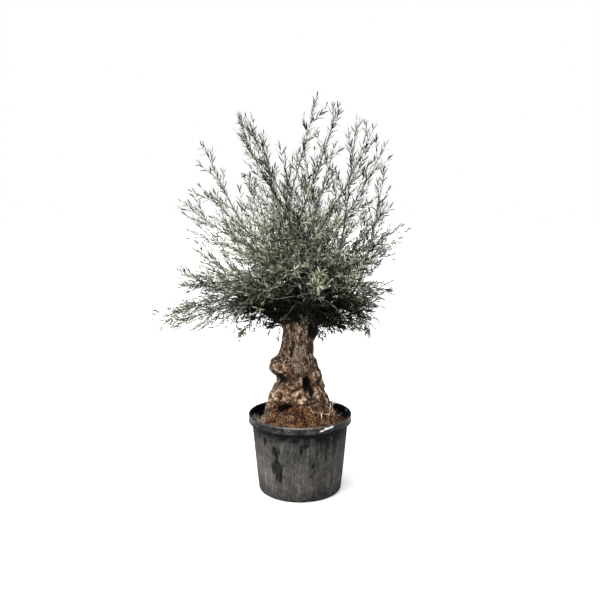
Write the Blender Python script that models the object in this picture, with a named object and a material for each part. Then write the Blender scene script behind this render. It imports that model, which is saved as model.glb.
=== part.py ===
"""An old olive kept as a large bonsai: a burled trunk in a black pot, with a crown of long leafy shoots.

Metres, +Z up. The origin is the middle of the pot's flat underside. -Y is the front.
"""

import itertools
import math
import random

import bmesh
import bpy
from mathutils import Matrix, Vector

# Driving dimensions
POT_HEIGHT = 0.45
RIM_RADIUS = 0.2985
BASE_RADIUS = 0.241
COLLAR_HEIGHT = 0.046
COLLAR_STEP = 0.021
LIP_WIDTH = 0.009
WALL = 0.004
TRUNK_FOOT = 0.34
TRUNK_TOP = 1.045
CROWN_HEART = Vector((0.0, 0.0, 1.02))
LEAF_LENGTH = 0.078
LEAF_WIDTH = 0.0165
GAP = 0.0004

# How finely the solids are faceted
COLUMNS = 36
LIMB_SIDES = 6
LIMB_RINGS = 6

FRONT = math.radians(270)
SEED = 11


def arc(centre, radius, start, end, steps):
    """Points (across, up) on an arc of a circle, angles in degrees."""
    turns = [math.radians(start + (end - start) * i / steps) for i in range(steps + 1)]
    return [(centre[0] + radius * math.cos(a), centre[1] + radius * math.sin(a)) for a in turns]


def columns(count):
    return [2 * math.pi * i / count for i in range(count)]


def smooth_step(low, high, x):
    t = min(1.0, max(0.0, (x - low) / (high - low)))
    return t * t * (3 - 2 * t)


def table_value(table, x):
    """Reads a table of (x, value) rows, eased from row to row."""
    for (x0, v0), (x1, v1) in zip(table, table[1:]):
        if x <= x1:
            return v0 + (v1 - v0) * smooth_step(x0, x1, x)
    return table[-1][1]


def turned(azimuth, elevation):
    """The direction so many degrees round from +X and so many up."""
    a, e = math.radians(azimuth), math.radians(elevation)
    return Vector((math.cos(a) * math.cos(e), math.sin(a) * math.cos(e), math.sin(e)))


def material(name, colour, roughness):
    made = bpy.data.materials.new(name)
    made.use_nodes = True
    shader = made.node_tree.nodes["Principled BSDF"]
    shader.inputs["Base Color"].default_value = (*colour, 1)
    shader.inputs["Roughness"].default_value = roughness
    shader.inputs["Metallic"].default_value = 0
    return made


def add_object(name, bm, finish, smooth_angle=35):
    bmesh.ops.recalc_face_normals(bm, faces=bm.faces)
    mesh = bpy.data.meshes.new(name)
    bm.to_mesh(mesh)
    bm.free()
    mesh.materials.append(finish)
    mesh.shade_smooth()
    mesh.set_sharp_from_angle(angle=math.radians(smooth_angle))
    obj = bpy.data.objects.new(name, mesh)
    bpy.context.scene.collection.objects.link(obj)
    return obj


def skin(bm, rings, pointed=False):
    """Joins rings of as many corners each, capped flat at the start, and flat or to a point at the end."""
    loops = [[bm.verts.new(p) for p in ring] for ring in rings]
    for low, high in zip(loops, loops[1:]):
        for i in range(len(low)):
            j = (i + 1) % len(low)
            bm.faces.new((low[i], low[j], high[j], high[i]))
    bm.faces.new(loops[0])
    end = bm.faces.new(loops[-1])
    if pointed:
        bmesh.ops.poke(bm, faces=[end])


def ring_points(centre, frame, radius, sides, turn=0.0):
    across, over, _ = frame
    angles = [a + turn for a in columns(sides)]
    return [centre + (across * math.cos(a) + over * math.sin(a)) * radius for a in angles]


def carried_frames(points, side, heading=None):
    """(across, over, along) at each point of a line, turned as little as possible from point to point."""
    frames = []
    for i in range(len(points)):
        along = (points[min(i + 1, len(points) - 1)] - points[max(i - 1, 0)]).normalized()
        if i == 0 and heading:
            along = heading
        side = (side - along * side.dot(along)).normalized()
        frames.append((side, along.cross(side), along))
    return frames


def joined(obj, name, others, operation):
    """Applies one Boolean of a group of helper objects to an object, and removes the helpers."""
    group = bpy.data.collections.new(name)
    for other in others:
        bpy.context.scene.collection.objects.unlink(other)
        group.objects.link(other)
    modifier = obj.modifiers.new(name, "BOOLEAN")
    modifier.operation = operation
    modifier.solver = "EXACT"
    modifier.operand_type = "COLLECTION"
    modifier.collection = group
    graph = bpy.context.evaluated_depsgraph_get()
    result = bpy.data.meshes.new_from_object(obj.evaluated_get(graph))
    obj.modifiers.clear()
    obj.data = result
    for other in others:
        bpy.data.objects.remove(other)
    bpy.data.collections.remove(group)


# Pot

RIB_COUNT = 12
RIB_HEIGHT = 0.0024
RIBBED_RINGS = (2, 3)
NOTCH_COUNT = 6
NOTCH_RADIUS = 0.011
NOTCH_START = 281
NOTCH_LENGTH = 0.07
NOTCH_SIDES = 8
FLOOR_CORNER = 0.018
COLLAR_FOOT = POT_HEIGHT - COLLAR_HEIGHT
WALL_TOP_RADIUS = RIM_RADIUS - COLLAR_STEP
LEDGE = COLLAR_FOOT + WALL
LEDGE_DROP = 0.002
BAND_DEPTH = 0.003
EDGE_ROUND = 0.001
LOWER_RIB_HEIGHT = 0.010
LIP_HEIGHT = 0.009
BEAD = 0.004


def pot_profile():
    """Points (radius, height): from under the base, up the outside, over the lip and down to the floor."""
    outside = arc((BASE_RADIUS - FLOOR_CORNER, FLOOR_CORNER), FLOOR_CORNER, -90, 0, 2)
    outside += [(WALL_TOP_RADIUS, COLLAR_FOOT), (RIM_RADIUS, COLLAR_FOOT + EDGE_ROUND)]
    band = RIM_RADIUS - BAND_DEPTH
    collar = [(RIM_RADIUS, COLLAR_FOOT + LOWER_RIB_HEIGHT), (band, COLLAR_FOOT + LOWER_RIB_HEIGHT + BEAD)]
    collar += [(band, POT_HEIGHT - LIP_HEIGHT), (RIM_RADIUS, POT_HEIGHT - LIP_HEIGHT + BEAD)]
    lip = [(band, POT_HEIGHT), (RIM_RADIUS - LIP_WIDTH, POT_HEIGHT)]
    inside = [(RIM_RADIUS - LIP_WIDTH, LEDGE), (WALL_TOP_RADIUS - WALL, LEDGE - LEDGE_DROP)]
    inside += [(BASE_RADIUS - WALL, FLOOR_CORNER), (BASE_RADIUS - FLOOR_CORNER, WALL)]
    return outside + collar + lip + inside


def make_pot(finish):
    """A turned pot with shallow ribs down its wall and drain notches round its foot."""
    rings = []
    for number, (radius, z) in enumerate(pot_profile()):
        ribbed = number in RIBBED_RINGS
        ring = []
        for i, a in enumerate(columns(COLUMNS)):
            r = radius + (RIB_HEIGHT if ribbed and i % (COLUMNS // RIB_COUNT) == 0 else 0)
            ring.append((r * math.cos(a), r * math.sin(a), z))
        rings.append(ring)
    bm = bmesh.new()
    skin(bm, rings)
    pot = add_object("pot", bm, finish)

    notches = []
    for i in range(NOTCH_COUNT):
        outward = turned(NOTCH_START + 360 * i / NOTCH_COUNT, 0)
        middle = outward * BASE_RADIUS + Vector((0, 0, NOTCH_RADIUS / 4))
        turn = outward.to_track_quat("Z", "Y").to_matrix().to_4x4()
        cutter = bmesh.new()
        bmesh.ops.create_cone(
            cutter, cap_ends=True, segments=NOTCH_SIDES, radius1=NOTCH_RADIUS, radius2=NOTCH_RADIUS,
            depth=NOTCH_LENGTH, matrix=Matrix.Translation(middle) @ turn,
        )
        notches.append(add_object(f"notch_{i}", cutter, finish))
    joined(pot, "notches", notches, "DIFFERENCE")


# Trunk

# Height, radius and how far the middle leans to +X. The foot keeps one outline up to SOIL_BAND.
SOIL_BAND = 0.54
BAND_FADE = 0.03
TRUNK_RADIUS = [
    (TRUNK_FOOT, 0.180), (SOIL_BAND, 0.180), (0.585, 0.152), (0.63, 0.134), (0.66, 0.129),
    (0.70, 0.122), (0.76, 0.103), (0.80, 0.093), (0.86, 0.089), (0.93, 0.097), (0.98, 0.106),
    (1.02, 0.096), (TRUNK_TOP, 0.062),
]
TRUNK_LEAN = [
    (TRUNK_FOOT, -0.013), (SOIL_BAND, -0.013), (0.63, -0.006), (0.70, -0.010),
    (0.80, -0.018), (0.86, -0.015), (0.93, -0.008), (TRUNK_TOP, -0.002),
]
TRUNK_ROWS = 19
# Swellings: degrees round, height, half width, half height, how far out
BURLS = [
    (184, 0.760, 0.046, 0.028, 0.048),
    (190, 0.712, 0.052, 0.040, 0.040),
    (225, 0.725, 0.034, 0.034, 0.016),
    (200, 0.585, 0.050, 0.036, 0.018),
    (233, 0.598, 0.032, 0.024, 0.032),
    (266, 0.588, 0.034, 0.022, 0.028),
    (287, 0.572, 0.026, 0.022, 0.022),
    (312, 0.605, 0.034, 0.028, 0.022),
    (316, 0.695, 0.028, 0.038, 0.024),
    (338, 0.580, 0.042, 0.030, 0.018),
    (350, 0.668, 0.042, 0.040, 0.012),
    (20, 0.600, 0.055, 0.040, 0.026),
    (52, 0.740, 0.050, 0.042, 0.034),
    (80, 0.590, 0.050, 0.036, 0.030),
    (112, 0.670, 0.055, 0.045, 0.030),
    (143, 0.585, 0.050, 0.036, 0.026),
    (158, 0.860, 0.035, 0.040, 0.014),
    (276, 0.790, 0.024, 0.120, 0.014),
]
# Hollows, with their depth in the last column
HOLLOWS = [
    (291, 0.645, 0.019, 0.036, 0.055),
    (246, 0.556, 0.044, 0.015, 0.050),
    (222, 0.668, 0.036, 0.024, 0.030),
    (254, 0.838, 0.010, 0.044, 0.016),
    (300, 0.590, 0.013, 0.020, 0.022),
    (88, 0.640, 0.022, 0.040, 0.045),
    (40, 0.570, 0.030, 0.018, 0.034),
    (134, 0.760, 0.014, 0.050, 0.022),
]
# Soft folds up the whole trunk: how many round it, depth as a share of the radius, phase
FLUTES = [(3, 0.030, 0.6), (5, 0.026, -1.1), (8, 0.014, 2.0)]


def trunk_radius(angle, z):
    """How far the trunk's surface is from its own middle, round it and up it."""
    base = table_value(TRUNK_RADIUS, z)
    radius = base * (1 + sum(depth * math.cos(count * angle + turn) for count, depth, turn in FLUTES))
    above = smooth_step(SOIL_BAND, SOIL_BAND + BAND_FADE, z)
    for shapes, sign in ((BURLS, 1), (HOLLOWS, -1)):
        for degrees, height, half_width, half_height, depth in shapes:
            round_by = math.remainder(angle - math.radians(degrees), 2 * math.pi) * base / half_width
            up_by = (z - height) / half_height
            radius += sign * above * depth * math.exp(-(round_by**2 + up_by**2))
    return radius


def trunk_point(angle, z, outset=0.0):
    radius = trunk_radius(angle, z) + outset
    return Vector((table_value(TRUNK_LEAN, z) + radius * math.cos(angle), radius * math.sin(angle), z))


def trunk_heights():
    above = [SOIL_BAND + (TRUNK_TOP - SOIL_BAND) * i / (TRUNK_ROWS - 1) for i in range(TRUNK_ROWS)]
    return [TRUNK_FOOT] + above


# Limbs: degrees round, degrees up, length, radius at the root
LIMBS = [
    (8, 30, 0.30, 0.035),
    (52, 54, 0.36, 0.033),
    (98, 32, 0.30, 0.035),
    (146, 56, 0.36, 0.033),
    (188, 27, 0.32, 0.036),
    (232, 54, 0.34, 0.032),
    (278, 32, 0.28, 0.034),
    (324, 56, 0.35, 0.032),
    (70, 84, 0.38, 0.033),
]
LIMB_ROOT = Vector((0, 0, 0.965))
LIMB_ROOT_OUT = 0.03
LIMB_TAPER = 0.46
LIMB_RISE = 0.35
FIRST_SEAT_RING = 2


def limb_line(limb):
    """Points and radii down a limb's middle, from inside the trunk's head, bending upwards."""
    azimuth, elevation, length, radius = limb
    heading = turned(azimuth, elevation)
    at = LIMB_ROOT + turned(azimuth, 0) * LIMB_ROOT_OUT
    points, radii = [], []
    for i in range(LIMB_RINGS):
        share = i / (LIMB_RINGS - 1)
        points.append(at.copy())
        radii.append(radius * (1 - (1 - LIMB_TAPER) * share))
        heading = (heading + Vector((0, 0, LIMB_RISE * share / LIMB_RINGS))).normalized()
        at += heading * length / (LIMB_RINGS - 1)
    return points, radii


def limb_rings(limb):
    points, radii = limb_line(limb)
    frames = carried_frames(points, Vector((0, 0, 1)).cross(turned(limb[0], 0)))
    return [ring_points(p, f, r, LIMB_SIDES) for p, f, r in zip(points, frames, radii)]


def make_trunk(finish):
    bm = bmesh.new()
    skin(bm, [[trunk_point(a, z) for a in columns(COLUMNS)] for z in trunk_heights()], pointed=True)
    trunk = add_object("trunk", bm, finish, 50)
    limbs = []
    for number, limb in enumerate(LIMBS):
        bm = bmesh.new()
        skin(bm, limb_rings(limb))
        limbs.append(add_object(f"limb_{number}", bm, finish))
    joined(trunk, "limbs", limbs, "UNION")


def seats():
    """(limb number, place, outward direction) of each facet and end of a limb that can carry a bough."""
    found = []
    for number, limb in enumerate(LIMBS):
        rings = limb_rings(limb)
        for low, high in list(zip(rings, rings[1:]))[FIRST_SEAT_RING:]:
            for i in range(LIMB_SIDES):
                j = (i + 1) % LIMB_SIDES
                corners = (low[i], low[j], high[j], high[i])
                middle = sum(corners, Vector()) / 4
                outward = (high[j] - low[i]).cross(high[i] - low[j]).normalized()
                warp = max((corner - middle).dot(outward) for corner in corners)
                found.append((number, middle + outward * warp, outward))
        line = limb_line(limb)[0]
        found.append((number, line[-1], (line[-1] - line[-2]).normalized()))
    return found


# Soil

# The surface's height at the back and at the front, where it meets the trunk and the pot
SOIL_AT_TRUNK = (0.462, 0.530)
SOIL_AT_POT = (0.415, 0.441)
SOIL_RINGS = 5
SOIL_BANKING = 1.5
SOIL_FALL = 1.3
# Low lumps: how many round the trunk, slant outwards, phase, height
SOIL_LUMPS = [(3, 9.0, 0.0, 0.006), (7, -14.0, 1.0, 0.005)]


def soil_height(angle, share):
    """The soil's height from the trunk (share 0) to the pot (share 1), banked up at the front."""
    front = 0.5 + 0.5 * math.cos(angle - FRONT)
    inner = SOIL_AT_TRUNK[0] + (SOIL_AT_TRUNK[1] - SOIL_AT_TRUNK[0]) * front**SOIL_BANKING
    outer = SOIL_AT_POT[0] + (SOIL_AT_POT[1] - SOIL_AT_POT[0]) * front
    lumps = 0
    for count, slant, turn, size in SOIL_LUMPS:
        lumps += size * math.sin(count * angle + slant * share + turn)
    return outer + (inner - outer) * (1 - share) ** SOIL_FALL + lumps * math.sin(math.pi * share)


def soil_point(angle, share):
    inner = trunk_point(angle, TRUNK_FOOT, 2 * GAP)
    outer = turned(math.degrees(angle), 0) * (RIM_RADIUS - LIP_WIDTH - GAP)
    return Vector((*inner.lerp(outer, share).xy, soil_height(angle, share)))


def make_soil(finish):
    """Fills the pot, with a plain hole for the trunk's foot and a socket for each dry stalk."""
    side = columns(COLUMNS)
    hole_floor = Vector((0, 0, -GAP))
    rings = [[trunk_point(a, TRUNK_FOOT, 2 * GAP) + hole_floor for a in side]]
    rings += [[soil_point(a, i / (SOIL_RINGS - 1)) for a in side] for i in range(SOIL_RINGS)]
    wall = [
        (RIM_RADIUS - LIP_WIDTH - GAP, LEDGE + 2 * GAP),
        (WALL_TOP_RADIUS - WALL - GAP, LEDGE - LEDGE_DROP + GAP),
        (BASE_RADIUS - WALL - GAP, FLOOR_CORNER + GAP),
        (BASE_RADIUS - FLOOR_CORNER - GAP, WALL + GAP),
    ]
    rings += [[Vector((radius * math.cos(a), radius * math.sin(a), z)) for a in side] for radius, z in wall]
    bm = bmesh.new()
    skin(bm, rings)
    soil = add_object("soil", bm, finish, 60)

    sockets = []
    for number, stalk in enumerate(STALKS):
        foot, neck = stalk_line(stalk)[:2]
        ends = [foot.lerp(neck, -SOCKET_EXTRA), neck]
        frames = carried_frames(ends, Vector((1, 0, 0)))
        cutter = bmesh.new()
        skin(cutter, [ring_points(p, f, STALK_RADIUS + GAP, STALK_SIDES) for p, f in zip(ends, frames)])
        sockets.append(add_object(f"socket_{number}", cutter, finish))
    joined(soil, "sockets", sockets, "DIFFERENCE")


# Dry stalks: degrees round, share of the way to the pot, height, lean outwards, length of the broken end
STALKS = [
    (318, 0.45, 0.075, 0.10, 0.055),
    (300, 0.70, 0.050, -0.25, 0.060),
    (336, 0.30, 0.125, 0.05, 0.025),
]
STALK_RADIUS = 0.0022
STALK_SIDES = 5
STALK_DEPTH = 0.020
STALK_NECK = 0.3
STALK_DROOP = -14
SOCKET_EXTRA = 0.02


def stalk_line(stalk):
    """Up out of the soil, then bent over where the stalk has broken."""
    degrees, share, height, lean, broken = stalk
    outward = turned(degrees, 0)
    foot = soil_point(math.radians(degrees), share) - Vector((0, 0, STALK_DEPTH))
    rise = (Vector((0, 0, 1)) + outward * lean).normalized()
    neck = foot + rise * (STALK_DEPTH + STALK_NECK * height)
    top = foot + rise * (STALK_DEPTH + height)
    return [foot, neck, top, top + turned(degrees + 90, STALK_DROOP) * broken]


def make_stalks(finish):
    for number, stalk in enumerate(STALKS):
        line = stalk_line(stalk)
        frames = carried_frames(line, Vector((1, 0, 0)), (line[1] - line[0]).normalized())
        bm = bmesh.new()
        skin(bm, [ring_points(p, f, STALK_RADIUS, STALK_SIDES) for p, f in zip(line, frames)])
        add_object(f"dry_stalk_{number + 1}", bm, finish)


# Crown

# Where the longest shoots end, seen from the front: across, deep, up
LEADERS = [
    (-0.834, 0.00, 0.95), (-0.775, 0.09, 1.01), (-0.69, -0.12, 1.19), (-0.72, 0.06, 1.30),
    (-0.57, -0.20, 1.42), (-0.65, 0.16, 1.58), (-0.67, -0.06, 1.68), (-0.60, 0.18, 1.77),
    (-0.534, -0.02, 1.984), (-0.355, 0.10, 2.15), (-0.295, -0.14, 2.13), (-0.22, 0.28, 2.02),
    (-0.08, -0.30, 1.93), (0.01, 0.34, 2.08), (0.098, 0.00, 2.25), (0.225, 0.20, 2.23),
    (0.30, -0.18, 2.11), (0.43, 0.08, 2.11), (0.465, -0.16, 1.98), (0.50, 0.20, 1.85),
    (0.48, -0.12, 1.66), (0.599, 0.02, 1.535), (0.55, 0.20, 1.40), (0.535, -0.14, 1.17),
    (0.48, 0.12, 1.06), (0.39, -0.20, 0.95), (-0.34, -0.22, 0.91),
]
# The shoots of the crown's front and back: how many, degrees round each face, degrees up, and reach
SIDE_SHOOTS = 19
GOLDEN = 0.618034
FACE_SPREAD = 116
LOWEST_SHOOT = -12
SHOOT_RISE = 88
SHOOT_RISE_POWER = 1.3
SHOOT_REACH = 0.55
EXTRA_REACH = 0.40
REACH_STEP = 0.05

STEM_RADIUS = 0.0050
STEM_SWELL = 0.0030
STEM_TIP_RADIUS = 0.0022
TWIG_RADIUS = 0.0024
TWIG_TIP_RADIUS = 0.0016
BARE_SHARE = 0.20
TWIG_SHARE = 0.48
TWIG_SPACING = 0.16
PAIR_SPACING = 0.115
PORT = 0.007

# How a stem leaves its seat, and how far the end of a high one turns up
STEM_START = 0.16
STEM_END = 0.38
STEM_LIFT = 0.30
LIFTED_FROM_TO = (-0.1, 0.6)
STEM_FOOT = 1.25 * GAP
DETOUR = 1.6

# Twigs: length at the foot of a shoot, how much less at its top, curve, and where leaves start
TWIG_LENGTH = 0.17
TWIG_SHORTENING = 0.05
TWIG_VARIETY = (0.75, 1.1)
TWIG_STEPS = 12
TWIG_START_PULL = 0.4
TWIG_END_PULL = 0.3
TWIG_FOLLOW = 0.55
TWIG_LIFT = 0.15
TWIG_LEAVES = 0.45
SHORT_TWIG = 0.14
SHORT_TWIG_LEAVES = 0.7

TWIG_TILT = math.radians(46)
LEAF_TILT = math.radians(33)
SPREAD = math.radians(26)
SPREAD_VARIETY = 0.2
TWIG_TILT_STEP = 0.12
LEAF_TILT_VARIETY = (-0.06, 0.12)
LEAF_VARIETY = (0.84, 1.08)
LEAF_ROLL = 0.35
TIP_TURN = 0.05
TIP_ROLL = 0.6
WIDEST = 0.45
FIRST_CORNER = math.radians(210)
LEAF_FOOT = 0.75 * PORT
LEAF_POINT = 0.0005

# How far apart shoots keep, and near what they grow from, how much of them may be close to it
STEM_GAP = 0.004
SEAT_LENGTH = 0.035
TWIG_START = 0.030
LEAF_GAP = 0.0015
LEAF_START = 0.30
SIBLING_COSINE = math.cos(math.radians(53))
TRIES = 6


def crown_tips():
    """The leaders, then shoots that fill the crown's front and back by rule."""
    tips = [Vector(tip) for tip in LEADERS]
    for i in range(SIDE_SHOOTS):
        face = -90 if i % 2 else 90
        azimuth = face + FACE_SPREAD * ((i * GOLDEN) % 1 - 0.5)
        elevation = LOWEST_SHOOT + SHOOT_RISE * ((i + 0.5) / SIDE_SHOOTS) ** SHOOT_RISE_POWER
        reach = SHOOT_REACH + EXTRA_REACH * math.radians(max(0, elevation)) - REACH_STEP * (i % 3)
        tips.append(CROWN_HEART + turned(azimuth, elevation) * reach)
    return tips


class Room:
    """The space already taken, as balls along every stem and leaf, so that no two of them cross."""

    step = 0.004
    cell = 0.036
    reach = 0.009

    def __init__(self):
        self.cells = {}

    def balls(self, line, radii):
        for p, q, r, s in zip(line, line[1:], radii, radii[1:]):
            count = max(1, math.ceil((q - p).length / self.step))
            for i in range(count):
                yield p.lerp(q, i / count), r + (s - r) * i / count
        yield line[-1], radii[-1]

    def take(self, line, radii, owner):
        for middle, radius in self.balls(line, radii):
            reach = radius + self.reach
            low = [math.floor((c - reach) / self.cell) for c in middle]
            high = [math.floor((c + reach) / self.cell) for c in middle]
            for key in itertools.product(*(range(a, b + 1) for a, b in zip(low, high))):
                self.cells.setdefault(key, []).append((middle, radius, owner))

    def is_free(self, line, radii, margin, spared, spared_length):
        """Whether a line keeps clear. Near its start it may touch the owner that it grows from."""
        for middle, radius in self.balls(line, radii):
            at_start = (middle - line[0]).length < spared_length
            key = tuple(math.floor(c / self.cell) for c in middle)
            for other, other_radius, owner in self.cells.get(key, ()):
                if at_start and owner == spared:
                    continue
                if (middle - other).length < radius + other_radius + margin:
                    return False
        return True


def bezier(p0, p1, p2, p3, count=24):
    shares = [i / count for i in range(count + 1)]
    return [
        p0 * (1 - t) ** 3 + p1 * 3 * t * (1 - t) ** 2 + p2 * 3 * t * t * (1 - t) + p3 * t**3
        for t in shares
    ]


def length_of(line):
    return sum((q - p).length for p, q in zip(line, line[1:]))


def point_at(line, distance):
    for p, q in zip(line, line[1:]):
        step = (q - p).length
        if distance <= step:
            return p.lerp(q, distance / step)
        distance -= step
    return line[-1].copy()


class Shoot:
    """A tapering three-sided stem, with what grows from its faces and a leaf at its tip."""

    def __init__(self, owner, line, bare, stations, heading, radii, side):
        whole = length_of(line)
        marks = bare + [m + step for m in stations for step in (0, PORT)]
        self.owner = owner
        self.direction = heading
        self.points = [point_at(line, m) for m in marks]
        self.radii = [radii[0] + (radii[1] - radii[0]) * m / whole for m in marks]
        self.frames = carried_frames(self.points, side, heading)
        self.stations = [len(bare) + 2 * i for i in range(len(stations))]
        self.twiggy = 0
        self.grown = {}
        self.tip_leaf = None

    def face_tangent(self, segment, face):
        """Across a face, from its first corner to its second."""
        across, over, _ = self.frames[segment]
        a = math.radians(120 * face)
        return across * math.cos(a) + over * math.sin(a)

    def face_direction(self, segment, face, spread, tilt):
        """Out of a face, tilted from the stem, with a pair's two leaves spread from each other."""
        across, over, along = self.frames[segment]
        a = math.radians(270 + 120 * face) + spread
        radial = across * math.cos(a) + over * math.sin(a)
        return (along * math.cos(tilt) + radial * math.sin(tilt)).normalized()

    def is_crowded(self, segment, direction):
        """Whether something already grows from the same place in nearly the same direction."""
        grown = [self.grown.get((segment, face)) for face in range(3)]
        return any(child and child.direction.dot(direction) > SIBLING_COSINE for child in grown)


class Leaf:
    """A lance-shaped blade: where it starts, which way it points, how long and how far rolled it is."""

    def __init__(self, start, direction, length, roll):
        self.direction, self.length, self.roll = direction, length, roll
        self.width = LEAF_WIDTH * length / LEAF_LENGTH
        self.line = [start, start + direction * length * WIDEST, start + direction * length]
        self.radii = [LEAF_FOOT, self.width / 2, LEAF_POINT]


def spaced(first, last, count):
    return [first + (last - first) * i / max(1, count - 1) for i in range(count)]


def stem_line(tip, seat, outward):
    """The way a stem takes from its seat: out of the bark, then up and over to just short of its tip."""
    straight = tip - seat
    reach = straight.length
    lift = STEM_LIFT * smooth_step(*LIFTED_FROM_TO, straight.z / reach)
    ending = (straight.normalized() + Vector((0, 0, lift))).normalized()
    end = tip - ending * LEAF_LENGTH
    return bezier(seat, seat + outward * STEM_START * reach, end - ending * STEM_END * reach, end)


def main_stem(owner, tip, seat):
    """The stem of a bough from its seat to near its tip, bare at first and then with its stations."""
    _, place, outward = seat
    line = stem_line(tip, place + outward * STEM_FOOT, outward)
    whole = length_of(line)
    first, last = BARE_SHARE * whole, whole - PORT
    twiggy_length = TWIG_SHARE * (last - first)
    twiggy = max(2, round(twiggy_length / TWIG_SPACING))
    paired = max(2, round((last - first - twiggy_length) / PAIR_SPACING))
    stations = spaced(first, first + twiggy_length, twiggy + 1)[:-1]
    stations += spaced(first + twiggy_length, last, paired + 1)
    radii = (STEM_RADIUS + STEM_SWELL * min(1.0, whole), STEM_TIP_RADIUS)
    side = Vector((0, 0, 1)).cross(outward)
    stem = Shoot(owner, line, [0.0, 0.5 * first], stations, outward, radii, side)
    stem.twiggy = twiggy
    return stem


def plan_stems(room):
    """Gives every tip a free seat whose way to it is clear, the shortest and straightest way first."""
    free = seats()
    stems = []
    for tip in crown_tips():
        def effort(seat):
            way = tip - seat[1]
            return way.length * (DETOUR - way.normalized().dot(seat[2]))
        for seat in sorted(free, key=effort):
            stem = main_stem(len(LIMBS) + len(stems), tip, seat)
            if room.is_free(stem.points, stem.radii, STEM_GAP, seat[0], SEAT_LENGTH):
                free.remove(seat)
                room.take(stem.points, stem.radii, stem.owner)
                stems.append(stem)
                break
    return stems


def drawn_spread(sign, attempt, draw):
    """How far to turn from a face's middle, away from the other one of the pair."""
    change = draw.uniform(-SPREAD_VARIETY, SPREAD_VARIETY) * (1 + attempt)
    return sign * min(2 * SPREAD, max(0.0, SPREAD + change))


def try_twig(room, shoot, segment, face, sign, length, draw):
    """Grows a side twig from a face, curving up towards the shoot's own direction, if there is room."""
    for attempt in range(TRIES):
        spread = drawn_spread(sign, attempt, draw)
        direction = shoot.face_direction(segment, face, spread, TWIG_TILT + TWIG_TILT_STEP * attempt)
        start = shoot.points[segment].lerp(shoot.points[segment + 1], 0.5)
        along = shoot.frames[segment][2]
        ending = (direction + along * TWIG_FOLLOW + Vector((0, 0, TWIG_LIFT))).normalized()
        end = start + (direction + ending) * length / 2
        pull = direction * length * TWIG_START_PULL
        line = bezier(start, start + pull, end - ending * length * TWIG_END_PULL, end, TWIG_STEPS)
        whole = length_of(line)
        stations = [SHORT_TWIG_LEAVES * whole]
        if length > SHORT_TWIG:
            stations = [TWIG_LEAVES * whole, whole - PORT]
        radii = (TWIG_RADIUS, TWIG_TIP_RADIUS)
        twig = Shoot(shoot.owner, line, [0.0], stations, direction, radii, shoot.face_tangent(segment, face))
        crowded = shoot.is_crowded(segment, direction)
        if not crowded and room.is_free(twig.points, twig.radii, STEM_GAP, shoot.owner, TWIG_START):
            room.take(twig.points, twig.radii, shoot.owner)
            shoot.grown[segment, face] = twig
            return [twig]
    return []


def free_leaf(room, owner, leaf):
    """Takes a leaf's space if it crosses nothing."""
    if not room.is_free(leaf.line, leaf.radii, LEAF_GAP, owner, LEAF_START * leaf.length):
        return False
    room.take(leaf.line, leaf.radii, owner)
    return True


def try_leaf(room, shoot, segment, face, sign, draw):
    """Grows a leaf from a face, turned a little further at each try until it crosses nothing."""
    for attempt in range(TRIES):
        spread = drawn_spread(sign, attempt, draw)
        tilt = LEAF_TILT + draw.uniform(*LEAF_TILT_VARIETY) * (1 + attempt)
        direction = shoot.face_direction(segment, face, spread, tilt)
        start = shoot.points[segment] + direction * shoot.radii[segment]
        length = LEAF_LENGTH * draw.uniform(*LEAF_VARIETY)
        leaf = Leaf(start, direction, length, draw.uniform(-LEAF_ROLL, LEAF_ROLL))
        if not shoot.is_crowded(segment, direction) and free_leaf(room, shoot.owner, leaf):
            shoot.grown[segment, face] = leaf
            return


def try_tip_leaf(room, shoot, draw):
    along = shoot.frames[-1][2]
    for attempt in range(TRIES):
        turn = Vector([draw.uniform(-TIP_TURN, TIP_TURN) * (1 + attempt) for _ in range(3)])
        roll = draw.uniform(-TIP_ROLL, TIP_ROLL)
        leaf = Leaf(shoot.points[-1], (along + turn).normalized(), LEAF_LENGTH, roll)
        if free_leaf(room, shoot.owner, leaf):
            shoot.tip_leaf = leaf
            return


def opposite_faces(number):
    """The two faces that a station's pair grows from, turned on from station to station."""
    return ((number % 3, -1), ((number + 1) % 3, 1))


def plan_boughs(room, draw):
    """Stems first, then every twig, then every leaf, so that what matters most finds room."""
    stems = plan_stems(room)
    shoots = list(stems)
    for stem in stems:
        for i, segment in enumerate(stem.stations[:stem.twiggy]):
            for face, sign in opposite_faces(i):
                length = (TWIG_LENGTH - TWIG_SHORTENING * i / stem.twiggy) * draw.uniform(*TWIG_VARIETY)
                shoots += try_twig(room, stem, segment, face, sign, length, draw)
    for shoot in shoots:
        try_tip_leaf(room, shoot, draw)
    for shoot in reversed(shoots):
        for i, segment in enumerate(shoot.stations):
            for face, sign in opposite_faces(i):
                if (segment, face) not in shoot.grown:
                    try_leaf(room, shoot, segment, face, sign, draw)
    return stems


def build_leaf(bm, loop, leaf):
    """Draws a leaf out of a loop of three or four corners: flat below, with a ridge along its upper side."""
    start = sum((v.co for v in loop), Vector()) / len(loop)
    across = loop[1].co - loop[0].co
    across = (across - leaf.direction * across.dot(leaf.direction)).normalized()
    across = Matrix.Rotation(leaf.roll, 3, leaf.direction) @ across
    middle = start + leaf.direction * leaf.length * WIDEST
    left = bm.verts.new(middle - across * leaf.width / 2)
    right = bm.verts.new(middle + across * leaf.width / 2)
    tip = bm.verts.new(start + leaf.direction * leaf.length)
    bm.faces.new((loop[0], loop[1], right, left))
    bm.faces.new((left, right, tip))
    bm.faces.new((loop[1], loop[2], right))
    bm.faces.new((right, loop[2], tip))
    if len(loop) == 4:
        bm.faces.new((loop[2], loop[3], tip))
    bm.faces.new((loop[-1], left, tip))
    bm.faces.new((loop[-1], loop[0], left))


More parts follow.
